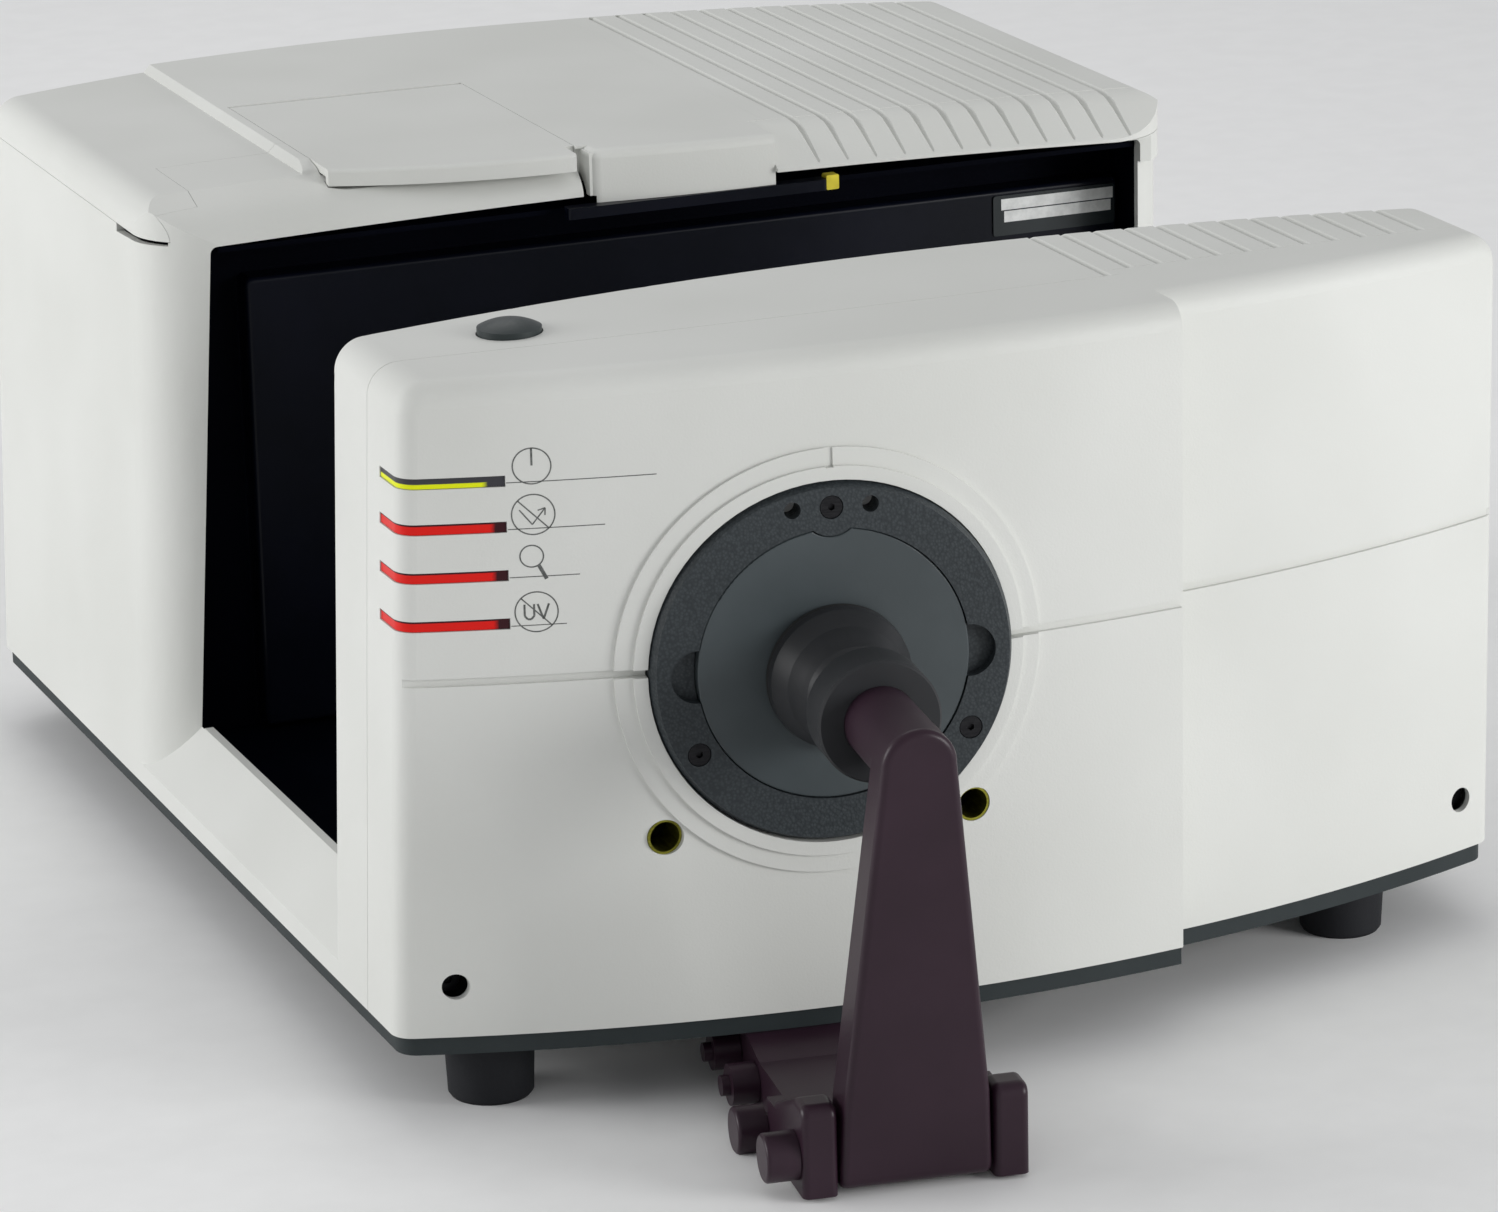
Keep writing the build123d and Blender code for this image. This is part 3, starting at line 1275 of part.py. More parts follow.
with BuildPart() as panel:
    with BuildSketch(Plane.XZ.offset(-129.8)):
        with Locations((21.3, 139.3)):
            RectangleRounded(381.8, 186.4, 3)
    extrude(amount=11.8)
    front = panel.faces().sort_by(Axis.Y)[0]
    fillet(front.edges(), 2.0)
    with BuildSketch(Plane.XZ.offset(-131)):
        with Locations((21.3, 139.3)):
            RectangleRounded(377.8, 182.4, 2)
    extrude(amount=11.0, mode=Mode.SUBTRACT)
    with BuildSketch(PORT.offset(-390)):
        Circle(15.0)
    extrude(amount=60, mode=Mode.SUBTRACT)
save(panel, "compartment_panel")

with BuildPart() as window:
    with BuildSketch(PORT.offset(-371.0)):
        Circle(14.8)
    extrude(amount=2.0)
save(window, "beam_window")
with BuildPart() as nameplate:
    with BuildSketch(Plane.XZ.offset(-117.9)):
        with Locations((182.6, 221.5)):
            RectangleRounded(55.6, 17, 1.2)
    extrude(amount=0.7)
save(nameplate, "blank_label")
with BuildPart() as rail:
    with BuildSketch(Plane.XY.offset(250.2)):
        with Locations((9.7, REAR_FACE_Y - 3.4)):
            RectangleRounded(111.4, 6.4, 1.5)
    extrude(amount=4.5)
save(rail, "light_shield_rail")
with BuildPart() as marker:
    with BuildSketch(Plane.XZ.offset(-REAR_FACE_Y + 0.3)):
        with Locations((68.2, 253.0)):
            RectangleRounded(5.4, 6.0, 0.6)
    extrude(amount=5.0)
save(marker, "alignment_marker")

# ---- optics behind the compartment ---------------------------------------------------------------
with BuildPart() as barrel:
    with BuildSketch(PORT.offset(-436)):
        Circle(19.0)
        Circle(16.2, mode=Mode.SUBTRACT)
    extrude(amount=56)
    with BuildSketch(PORT.offset(-436)):
        Circle(27.0)
        Circle(16.2, mode=Mode.SUBTRACT)
        with PolarLocations(23, 4, 45):
            Circle(1.7, mode=Mode.SUBTRACT)
    extrude(amount=4)
    with BuildSketch(Plane(origin=PORT.from_local_coords((0, 0, -408)), x_dir=PORT.z_dir, z_dir=(0, 0, 1))):
        SlotOverall(30, 4.4)
    extrude(amount=30, mode=Mode.SUBTRACT)
save(barrel, "lens_barrel")
with BuildPart() as zoom_lens:
    with BuildSketch(side_plane(0)):
        with BuildLine():
            Line((-410, 0), (-410, 16.1))
            Line((-410, 16.1), (-400, 16.1))
            Line((-400, 16.1), (-400, 14.0))
            Line((-400, 14.0), (-403, 14.0))
            ThreePointArc((-403, 14.0), (-399.8 - dome_mid(14.0, 3.2, 7.2), 7.2), (-399.8, 0))
            Line((-399.8, 0), (-410, 0))
        make_face()
    revolve(axis=Axis(PORT.from_local_coords((0, 0, 0)), PORT.z_dir))
    with BuildSketch(Plane(origin=PORT.from_local_coords((0, 12, -405)), x_dir=PORT.z_dir, z_dir=(0, 0, 1))):
        Circle(1.9)
    extrude(amount=13)
save(zoom_lens, "zoom_lens")

with BuildPart() as spectro:
    with BuildSketch(PORT.offset(-532)):
        with Locations((-4, -6)):
            RectangleRounded(140, 92, 6)
    extrude(amount=95.7)
    with BuildSketch(PORT.offset(-527)):
        with Locations((-4, -6)):
            RectangleRounded(128, 80, 3)
    extrude(amount=85, mode=Mode.SUBTRACT)
    with BuildSketch(PORT.offset(-445)):
        Circle(12.0)
        with PolarLocations(23, 4, 45):
            Circle(1.4)
    extrude(amount=12, mode=Mode.SUBTRACT)
    for x in (-60, 52):
        foot = PORT.from_local_coords((x, -51.0, -484))
        with BuildSketch(Plane(origin=foot, x_dir=PORT.x_dir, z_dir=(0, 0, -1))):
            Rectangle(12, 70)
        extrude(amount=PORT_Z - 51.0 - 35.7)
save(spectro, "spectrometer_body")
grating_seat = PORT.from_local_coords((8, 0, -515))
grating_facing = PORT.from_local_coords((0.35, 0, 1)) - PORT.origin
with BuildPart() as grating:
    with BuildSketch(Plane(origin=grating_seat, x_dir=(0, 0, 1), z_dir=grating_facing)):
        RectangleRounded(36, 36, 2)
    extrude(amount=8)
save(grating, "grating")
with BuildPart() as detector:
    with BuildSketch(Plane(origin=PORT.from_local_coords((-60, 0, -480)), x_dir=(0, 0, 1), z_dir=PORT.x_dir)):
        Rectangle(50, 44)
    extrude(amount=1.6)
    chip_seat = PORT.from_local_coords((-58.4, 0, -480))
    with BuildSketch(Plane(origin=chip_seat, x_dir=(0, 0, 1), z_dir=PORT.x_dir)):
        Rectangle(10, 30)
    extrude(amount=3)
save(detector, "detector_board")

# ---- chassis and electronics ---------------------------------------------------------------------
with BuildPart() as chassis:
    with BuildSketch(Plane.XY.offset(33.6)):
        with Locations((0, 62)):
            RectangleRounded(400, 476, 8)
        with Locations(*FEET):
            Circle(9)
    extrude(amount=2.0)
    for x in (-194, 194):
        with BuildSketch(Plane.XY.offset(33.6)):
            with Locations((x, 62)):
                Rectangle(2, 440)
        extrude(amount=7.6)
    with BuildSketch(Plane.XY.offset(30)):
        with Locations(*FEET):
            Circle(2.2)
        with GridLocations(90, 110, 4, 3):
            with Locations((0, 40)):
                Circle(12)
    extrude(amount=8, mode=Mode.SUBTRACT)
    for x, y in FEET:
        with BuildSketch(Plane.XY.offset(FOOT_H + 3.1)):
            with Locations((x, y)):
                Circle(6)
                Circle(2.2, mode=Mode.SUBTRACT)
        extrude(amount=5.5)
save(chassis, "chassis_plate")

with BuildPart() as sphere_stand:
    with BuildSketch(Plane.XY.offset(35.7)):
        with Locations((SPHERE_C.X, SPHERE_C.Y)):
            RectangleRounded(70, 50, 4)
    extrude(amount=4)
    for x in (-24, 24):
        with BuildSketch(Plane.XY.offset(39.7)):
            with Locations((SPHERE_C.X + x, SPHERE_C.Y + 16)):
                Rectangle(12, 6)
        extrude(amount=73)
    with Locations(SPHERE_C):
        Sphere(54.0, mode=Mode.SUBTRACT)
    with BuildSketch(PORT.offset(SPHERE_OUT - 3)):
        Circle(59.0)
    extrude(amount=6, mode=Mode.SUBTRACT)
save(sphere_stand, "sphere_stand")

with BuildPart() as power_supply:
    with BuildSketch(Plane.XY.offset(35.7)):
        with Locations((140, 225)):
            RectangleRounded(100, 150, 3)
    extrude(amount=58)
    with BuildSketch(Plane.XY.offset(37.2)):
        with Locations((140, 225)):
            Rectangle(97, 147)
    extrude(amount=55, mode=Mode.SUBTRACT)
    with BuildSketch(Plane.XY.offset(90)):
        with Locations((140, 225)):
            with GridLocations(12, 26, 7, 5):
                SlotOverall(20, 5, rotation=90)
    extrude(amount=10, mode=Mode.SUBTRACT)
save(power_supply, "power_supply")

with BuildPart() as main_board:
    with BuildSketch(Plane.XY.offset(48)):
        with Locations((-133, 225)):
            RectangleRounded(110, 150, 4)
        with Locations((-133, 225)):
            with GridLocations(98, 138, 2, 2):
                Circle(1.9, mode=Mode.SUBTRACT)
    extrude(amount=1.6)
    with BuildSketch(Plane.XY.offset(49.6)):
        with Locations((-150, 200), (-110, 200)):
            Rectangle(24, 24)
        with Locations((-150, 250), (-120, 250), (-105, 275)):
            Rectangle(18, 10)
    extrude(amount=3)
    with BuildSketch(Plane.XY.offset(49.6)):
        with Locations((-95, 285), (-165, 165), (-150, 165), (-135, 165)):
            Circle(5)
    extrude(amount=14)
    with BuildSketch(Plane.XY.offset(35.7)):
        with Locations((-133, 225)):
            with GridLocations(98, 138, 2, 2):
                Circle(3.2)
    extrude(amount=12.3)
save(main_board, "main_board")

# ---- rear panel with its fittings ----------------------------------------------------------------
PANEL_Y = 336.0         # inner face of the flat panel behind the opening in the bowed back
PANEL_T = 2.5
INLET = (84.0, 84.0)
SWITCH = (50.0, 84.0)
DATA = (18.0, 84.0)
FAN = (-62.0, 98.0)


def back_box(x, z, width, height, y0, y1, radius=0.0):
    """Upright block facing the back."""
    with BuildPart() as box:
        with BuildSketch(Plane.XZ.offset(-y1)):
            with Locations((x, z)):
                if radius:
                    RectangleRounded(width, height, radius)
                else:
                    Rectangle(width, height)
        extrude(amount=y1 - y0)
    return box.part


with BuildPart() as rear_panel:
    add(back_box(0, 100, 222, 106, PANEL_Y, PANEL_Y + PANEL_T, 4))
    add(back_box(*INLET, 27.6, 20.6, 330, 345), mode=Mode.SUBTRACT)
    add(back_box(*SWITCH, 14.0, 22.0, 330, 345), mode=Mode.SUBTRACT)
    add(back_box(*DATA, 12.6, 11.6, 330, 345), mode=Mode.SUBTRACT)
    with BuildSketch(Plane.XZ.offset(-345)):
        with Locations(FAN):
            for r in (10, 17, 24):
                with PolarLocations(r, 6):
                    SlotOverall(r * 0.8, 4.2, rotation=90)
            with GridLocations(50, 50, 2, 2):
                Circle(1.7)
        with GridLocations(200, 86, 2, 2):
            with Locations((0, 100)):
                Circle(1.7)
    extrude(amount=20, mode=Mode.SUBTRACT)
save(rear_panel, "rear_panel")

with BuildPart() as panel_screws:
    for x in (-100, 100):
        for z in (57, 143):
            add(y_rod(x, z, 1.5, PANEL_Y - 5, PANEL_Y + PANEL_T))
            add(y_rod(x, z, 2.9, PANEL_Y + PANEL_T, PANEL_Y + PANEL_T + 1.8))
save(panel_screws, "panel_screws")

with BuildPart() as inlet:
    add(back_box(*INLET, 31.0, 24.0, PANEL_Y + PANEL_T, PANEL_Y + PANEL_T + 2.0, 3))
    add(back_box(*INLET, 27.0, 20.0, PANEL_Y - 16, PANEL_Y + PANEL_T))
    add(back_box(*INLET, 24.2, 17.0, PANEL_Y - 13, 350, 2.5), mode=Mode.SUBTRACT)
    for dx, dz in ((-7, -1.5), (0, 2.5), (7, -1.5)):
        add(back_box(INLET[0] + dx, INLET[1] + dz, 2.0, 4.0, PANEL_Y - 13, PANEL_Y))
save(inlet, "power_inlet")

with BuildPart() as bezel:
    add(back_box(*SWITCH, 17.0, 26.0, PANEL_Y + PANEL_T, PANEL_Y + PANEL_T + 1.6, 2))
    add(back_box(*SWITCH, 13.4, 21.4, PANEL_Y - 12, PANEL_Y + PANEL_T))
    add(back_box(*SWITCH, 11.2, 19.2, PANEL_Y - 10.5, 350), mode=Mode.SUBTRACT)
    with BuildSketch(Plane.YZ.offset(SWITCH[0] - 6)):
        with Locations((PANEL_Y - 1, SWITCH[1])):
            Circle(1.3)
    extrude(amount=12, mode=Mode.SUBTRACT)
save(bezel, "switch_bezel")

with BuildPart() as rocker:
    with BuildSketch(Plane.YZ.offset(-5.2)):
        with BuildLine():
            Line((-5.5, 0), (-3.5, -7.0))
            Line((-3.5, -7.0), (3.6, -8.2))
            ThreePointArc((3.6, -8.2), (2.4, 0), (3.6, 8.2))
            Line((3.6, 8.2), (-3.5, 7.0))
            Line((-3.5, 7.0), (-5.5, 0))
        make_face()
    extrude(amount=10.4)
    with BuildSketch(Plane.YZ.offset(-6.0)):
        Circle(1.15)
    extrude(amount=12.0)
    # generic on mark, a short raised bar
    with BuildSketch(Plane.XZ.offset(-3.0)):
        with Locations((0, 5.0)):
            Rectangle(1.0, 3.0)
    extrude(amount=-0.9)
rocker.part = rocker.part.rotate(Axis.X, -7.0).moved(Location((SWITCH[0], PANEL_Y - 1, SWITCH[1])))
save(rocker, "power_switch")

with BuildPart() as data_port:
    add(back_box(*DATA, 12.0, 11.0, PANEL_Y - 14, PANEL_Y + PANEL_T + 0.8))
    add(back_box(*DATA, 8.6, 7.8, PANEL_Y - 9, 350), mode=Mode.SUBTRACT)
    add(back_box(*DATA, 5.6, 3.2, PANEL_Y - 9, PANEL_Y))
save(data_port, "data_port")

with BuildPart() as fan_frame:
    with BuildSketch(Plane.XZ.offset(-PANEL_Y + 0.1)):
        with Locations(FAN):
            RectangleRounded(60, 60, 4)
            Circle(28.4, mode=Mode.SUBTRACT)
    extrude(amount=20)
    with BuildSketch(Plane.XZ.offset(-PANEL_Y + 17.1)):
        with Locations(FAN):
            Circle(12)
            Rectangle(58, 4)
            Rectangle(4, 58)
    extrude(amount=3)
    with BuildSketch(Plane.XZ.offset(-PANEL_Y + 2.0)):
        with Locations(FAN):
            Circle(2.0)
    extrude(amount=16)
    with BuildSketch(Plane.XZ.offset(-340)):
        with Locations(FAN):
            with GridLocations(50, 50, 2, 2):
                Circle(1.7)
    extrude(amount=30, mode=Mode.SUBTRACT)
save(fan_frame, "fan_frame")

with BuildPart() as rotor:
    with BuildSketch():
        Circle(12.5)
        Circle(2.05, mode=Mode.SUBTRACT)
    extrude(amount=13)
    with Locations((0, 0, 6.5)):
        with PolarLocations(11.8, 7):
            Box(15.2, 1.3, 13.5, rotation=(42, 0, 0), align=(Align.MIN, Align.CENTER, Align.CENTER))
rotor.part = rotor.part.rotate(Axis.X, 90).moved(Location((FAN[0], PANEL_Y - 3.0, FAN[1])))
save(rotor, "fan_rotor")
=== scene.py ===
"""Looks of the benchtop colorimeter: finishes, camera, studio, printed marks and label strips."""

import json
import math

import bpy
from mathutils import Matrix, Vector


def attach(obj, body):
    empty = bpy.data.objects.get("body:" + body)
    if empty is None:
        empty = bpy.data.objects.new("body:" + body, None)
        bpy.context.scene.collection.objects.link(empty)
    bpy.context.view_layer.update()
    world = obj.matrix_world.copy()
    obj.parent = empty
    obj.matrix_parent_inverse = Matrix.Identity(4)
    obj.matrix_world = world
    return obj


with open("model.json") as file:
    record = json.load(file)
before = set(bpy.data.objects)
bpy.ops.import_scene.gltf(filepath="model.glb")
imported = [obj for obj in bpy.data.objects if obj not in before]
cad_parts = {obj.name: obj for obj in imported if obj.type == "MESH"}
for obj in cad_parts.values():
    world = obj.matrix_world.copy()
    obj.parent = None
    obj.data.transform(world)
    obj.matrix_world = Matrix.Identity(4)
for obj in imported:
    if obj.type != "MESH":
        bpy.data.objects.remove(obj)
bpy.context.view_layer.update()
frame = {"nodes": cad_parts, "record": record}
NODES = frame["nodes"]
MM = 0.001


# ---- finishes ------------------------------------------------------------------------------------

# Sizes of the patterns, in cycles per metre.
TONE_DRIFT = 9.0
COAT_PATCHES = 22.0
ORANGE_PEEL = 900.0
METAL_LINES = 260.0
LENS_CLOUDS = 120.0
WINDOW_SPECKS = 900.0
GLASS_SMEAR = 60.0
BOARD_TRACKS = 110.0
INK_WEAR = 900.0
STRIP_SMUDGE = 260.0
FLOOR_SPECK = 40.0

LEVEL_LINES = (1.0, 1.0, 14.0)      # the pattern is finest along Z, so its lines lie level
GLASS_ROUGHNESS = 0.03
GLASS_INDEX = 1.5


def new_finish(name, color, roughness, metallic=0.0, sheen=0.5):
    """An empty finish with its shader, and the object coordinates that its pattern reads."""
    finish = bpy.data.materials.new(name)
    finish.use_nodes = True
    shader = finish.node_tree.nodes["Principled BSDF"]
    shader.inputs["Base Color"].default_value = (*color, 1.0)
    shader.inputs["Roughness"].default_value = roughness
    shader.inputs["Metallic"].default_value = metallic
    shader.inputs["Specular IOR Level"].default_value = sheen
    place = finish.node_tree.nodes.new("ShaderNodeTexCoord")
    return finish, shader, place


def grain(finish, place, scale, detail=3.0):
    """Noise in object space; scale is in cycles per metre."""
    noise = finish.node_tree.nodes.new("ShaderNodeTexNoise")
    noise.inputs["Scale"].default_value = scale
    noise.inputs["Detail"].default_value = detail
    noise.inputs["Roughness"].default_value = 0.55
    finish.node_tree.links.new(place.outputs["Object"], noise.inputs["Vector"])
    return noise


def tint(finish, shader, driver, dark, light, low=0.35, high=0.65):
    """Base colour that drifts between two tones with a pattern."""
    ramp = finish.node_tree.nodes.new("ShaderNodeValToRGB")
    ramp.color_ramp.elements[0].position = low
    ramp.color_ramp.elements[0].color = (*dark, 1.0)
    ramp.color_ramp.elements[1].position = high
    ramp.color_ramp.elements[1].color = (*light, 1.0)
    finish.node_tree.links.new(driver, ramp.inputs["Fac"])
    finish.node_tree.links.new(ramp.outputs["Color"], shader.inputs["Base Color"])


def gloss_range(finish, shader, driver, smooth, rough):
    """Roughness that drifts between two values with a pattern."""
    spread = finish.node_tree.nodes.new("ShaderNodeMapRange")
    spread.inputs["To Min"].default_value = smooth
    spread.inputs["To Max"].default_value = rough
    finish.node_tree.links.new(driver, spread.inputs["Value"])
    finish.node_tree.links.new(spread.outputs["Result"], shader.inputs["Roughness"])


def relief(finish, shader, driver, height_mm, strength=1.0):
    """Fine surface relief, height in millimetres."""
    bump = finish.node_tree.nodes.new("ShaderNodeBump")
    bump.inputs["Strength"].default_value = strength
    bump.inputs["Distance"].default_value = height_mm * MM
    finish.node_tree.links.new(driver, bump.inputs["Height"])
    finish.node_tree.links.new(bump.outputs["Normal"], shader.inputs["Normal"])


def moulded_plastic(name, dark, light, roughness, grain_mm=0.9, height_mm=0.05, sheen=0.5):
    """Spark-eroded moulding texture with a slow drift in tone."""
    finish, shader, place = new_finish(name, light, roughness, sheen=sheen)
    drift = grain(finish, place, TONE_DRIFT, 2.0)
    fine = grain(finish, place, 1000.0 / grain_mm, 2.0)
    tint(finish, shader, drift.outputs["Fac"], dark, light)
    gloss_range(finish, shader, fine.outputs["Fac"], roughness - 0.07, roughness + 0.08)
    relief(finish, shader, fine.outputs["Fac"], height_mm)
    return finish


def powder_coat(name, dark, light, roughness, sheen=0.5):
    """Sprayed paint on metal: orange peel, a few duller patches."""
    finish, shader, place = new_finish(name, light, roughness, sheen=sheen)
    patches = grain(finish, place, COAT_PATCHES, 4.0)
    peel = grain(finish, place, ORANGE_PEEL, 1.0)
    tint(finish, shader, patches.outputs["Fac"], dark, light)
    gloss_range(finish, shader, patches.outputs["Fac"], roughness - 0.06, roughness + 0.08)
    relief(finish, shader, peel.outputs["Fac"], 0.03, 0.6)
    return finish


def crackle_coat(name, dark, light, roughness, cell_mm, height_mm, sheen):
    """Wrinkle paint: small raised cells with dull tops."""
    finish, shader, place = new_finish(name, light, roughness, sheen=sheen)
    cells = finish.node_tree.nodes.new("ShaderNodeTexVoronoi")
    cells.inputs["Scale"].default_value = 1000.0 / cell_mm
    finish.node_tree.links.new(place.outputs["Object"], cells.inputs["Vector"])
    tint(finish, shader, cells.outputs["Distance"], dark, light, 0.1, 0.7)
    relief(finish, shader, cells.outputs["Distance"], height_mm)
    return finish


def worked_metal(name, dark, light, roughness):
    """Machined or brushed metal with fine level lines."""
    finish, shader, place = new_finish(name, light, roughness, metallic=1.0)
    stretch = finish.node_tree.nodes.new("ShaderNodeMapping")
    stretch.inputs["Scale"].default_value = LEVEL_LINES
    finish.node_tree.links.new(place.outputs["Object"], stretch.inputs["Vector"])
    lines = finish.node_tree.nodes.new("ShaderNodeTexNoise")
    lines.inputs["Scale"].default_value = METAL_LINES
    lines.inputs["Detail"].default_value = 5.0
    finish.node_tree.links.new(stretch.outputs["Vector"], lines.inputs["Vector"])
    tint(finish, shader, lines.outputs["Fac"], dark, light)
    gloss_range(finish, shader, lines.outputs["Fac"], roughness - 0.08, roughness + 0.12)
    relief(finish, shader, lines.outputs["Fac"], 0.01, 0.5)
    return finish


def tinted_plastic(name, dark, light):
    """Clear-coloured moulding with faint clouds in it."""
    finish, shader, place = new_finish(name, light, 0.35, sheen=0.3)
    clouds = grain(finish, place, LENS_CLOUDS, 2.0)
    tint(finish, shader, clouds.outputs["Fac"], dark, light, 0.3, 0.7)
    relief(finish, shader, clouds.outputs["Fac"], 0.05, 0.4)
    return finish


WINDOW_END_X = -0.1814      # right end of the four lamp windows
EDGE_BLUR = 0.25 * MM       # half the height over which a window takes on its painted shade at its upper edge
END_BLUR_MM = 3.0           # length over which it turns darker towards its right end
SPECK_STRENGTH = 0.25


def lamp_window(name, color, edge, edge_z, fade_mm):
    """Lamp window, coloured below edge_z; painted shade of its recess above it, and darker towards
    its right end.
    """
    finish, shader, place = new_finish(name, color, 0.35, sheen=0.25)
    nodes = finish.node_tree.nodes
    links = finish.node_tree.links
    specks = grain(finish, place, WINDOW_SPECKS, 2.0)
    axes = nodes.new("ShaderNodeSeparateXYZ")
    links.new(place.outputs["Object"], axes.inputs["Vector"])
    height = nodes.new("ShaderNodeMapRange")
    height.inputs["From Min"].default_value = edge_z - EDGE_BLUR
    height.inputs["From Max"].default_value = edge_z + EDGE_BLUR
    links.new(axes.outputs["Z"], height.inputs["Value"])
    reach = nodes.new("ShaderNodeMapRange")
    reach.inputs["From Min"].default_value = WINDOW_END_X - (fade_mm + END_BLUR_MM) * MM
    reach.inputs["From Max"].default_value = WINDOW_END_X - fade_mm * MM
    links.new(axes.outputs["X"], reach.inputs["Value"])
    # Mask of painted shade: the recess's shade at the window's upper edge, and the darkening
    # towards its right end.
    painted_shade = nodes.new("ShaderNodeMath")
    painted_shade.operation = "MAXIMUM"
    links.new(height.outputs["Result"], painted_shade.inputs[0])
    links.new(reach.outputs["Result"], painted_shade.inputs[1])
    # The lens's real specks mixed with the painted shade.
    specks_and_shade = nodes.new("ShaderNodeMath")
    specks_and_shade.operation = "MULTIPLY_ADD"
    specks_and_shade.inputs[1].default_value = SPECK_STRENGTH
    links.new(specks.outputs["Fac"], specks_and_shade.inputs[0])
    links.new(painted_shade.outputs["Value"], specks_and_shade.inputs[2])
    tint(finish, shader, specks_and_shade.outputs["Value"], color, edge, 0.35, 0.95)
    return finish


def clear_optic(name, color):
    """Polished glass with a faint smear."""
    finish, shader, place = new_finish(name, color, GLASS_ROUGHNESS)
    smear = grain(finish, place, GLASS_SMEAR)
    gloss_range(finish, shader, smear.outputs["Fac"], GLASS_ROUGHNESS, GLASS_ROUGHNESS + 0.05)
    shader.inputs["Transmission Weight"].default_value = 1.0
    shader.inputs["IOR"].default_value = GLASS_INDEX
    return finish


def circuit_board(name):
    """Solder mask with lighter tracks."""
    finish, shader, place = new_finish(name, (0.02, 0.16, 0.07), 0.4)
    tracks = finish.node_tree.nodes.new("ShaderNodeTexBrick")
    tracks.inputs["Scale"].default_value = BOARD_TRACKS
    tracks.inputs["Color1"].default_value = (0.015, 0.15, 0.06, 1.0)
    tracks.inputs["Color2"].default_value = (0.03, 0.21, 0.09, 1.0)
    tracks.inputs["Mortar"].default_value = (0.10, 0.34, 0.16, 1.0)
    tracks.inputs["Mortar Size"].default_value = 0.03
    finish.node_tree.links.new(place.outputs["Object"], tracks.inputs["Vector"])
    finish.node_tree.links.new(tracks.outputs["Color"], shader.inputs["Base Color"])
    relief(finish, shader, tracks.outputs["Fac"], 0.05, 0.3)
    return finish


# Finishes by the material slot that the frame's record gives each node.
FINISHES = {
    "shell_grey": moulded_plastic(
        "shell_grey", (0.665, 0.672, 0.640), (0.705, 0.712, 0.682), 0.55, sheen=0.35,
    ),
    "ring_charcoal": crackle_coat(
        "ring_charcoal", (0.044, 0.053, 0.058), (0.024, 0.030, 0.034), 0.50,
        cell_mm=1.1, height_mm=0.12, sheen=0.35,
    ),
    "pan_slate": powder_coat(
        "pan_slate", (0.022, 0.029, 0.031), (0.030, 0.038, 0.040), 0.55, sheen=0.25,
    ),
    "clamp_black": powder_coat(
        "clamp_black", (0.022, 0.009, 0.017), (0.028, 0.012, 0.022), 0.36, sheen=0.30,
    ),
    "anodised_black": powder_coat(
        "anodised_black", (0.046, 0.058, 0.063), (0.059, 0.073, 0.079), 0.38,
    ),
    "bare_aluminium": worked_metal("bare_aluminium", (0.50, 0.51, 0.52), (0.62, 0.63, 0.64), 0.36),
    "steel": worked_metal("steel", (0.45, 0.45, 0.46), (0.58, 0.58, 0.59), 0.3),
    "dark_screw": worked_metal("dark_screw", (0.020, 0.020, 0.022), (0.035, 0.035, 0.037), 0.38),
    "liner_black": moulded_plastic(
        "liner_black", (0.0006, 0.0010, 0.0035), (0.0011, 0.0017, 0.005), 0.6,
        grain_mm=1.2, height_mm=0.04, sheen=0.03,
    ),
    "panel_black": powder_coat(
        "panel_black", (0.002, 0.003, 0.007), (0.003, 0.004, 0.010), 0.30, sheen=0.14,
    ),
    "rubber_black": moulded_plastic(
        "rubber_black", (0.009, 0.010, 0.013), (0.014, 0.015, 0.018), 0.72,
        grain_mm=0.7, height_mm=0.05, sheen=0.3,
    ),
    "facing_grey": moulded_plastic(
        "facing_grey", (0.022, 0.022, 0.022), (0.034, 0.034, 0.034), 0.8,
        grain_mm=0.5, height_mm=0.06, sheen=0.3,
    ),
    "button_grey": moulded_plastic(
        "button_grey", (0.024, 0.031, 0.032), (0.032, 0.041, 0.042), 0.42,
        grain_mm=1.4, height_mm=0.03, sheen=0.3,
    ),
    "yellow_lens": tinted_plastic("yellow_lens", (0.60, 0.50, 0.04), (0.85, 0.72, 0.06)),
    "white_coating": moulded_plastic(
        "white_coating", (0.86, 0.86, 0.84), (0.91, 0.91, 0.89), 0.85,
        grain_mm=0.4, height_mm=0.02,
    ),
    "clear_glass": clear_optic("clear_glass", (0.92, 0.95, 0.96)),
    "label_blank": powder_coat(
        "label_blank", (0.014, 0.019, 0.021), (0.020, 0.026, 0.029), 0.35, sheen=0.3,
    ),
    "board_green": circuit_board("board_green"),
    "black_plastic": moulded_plastic(
        "black_plastic", (0.012, 0.012, 0.014), (0.020, 0.020, 0.022), 0.5,
        grain_mm=1.0, height_mm=0.03,
    ),
}

LAMP_YELLOW = (0.80, 0.86, 0.002)
# Painted shade of the recess over the yellow window.
WINDOW_SHADE_GREY = (0.045, 0.045, 0.052)
LAMP_RED = (0.74, 0.006, 0.002)
# Painted shade of the recess over the red windows.
WINDOW_SHADE_RED = (0.035, 0.002, 0.006)
CLAMP_TIP = powder_coat(
    "clamp_tip_black", (0.020, 0.021, 0.023), (0.027, 0.028, 0.031), 0.42, sheen=0.30,
)

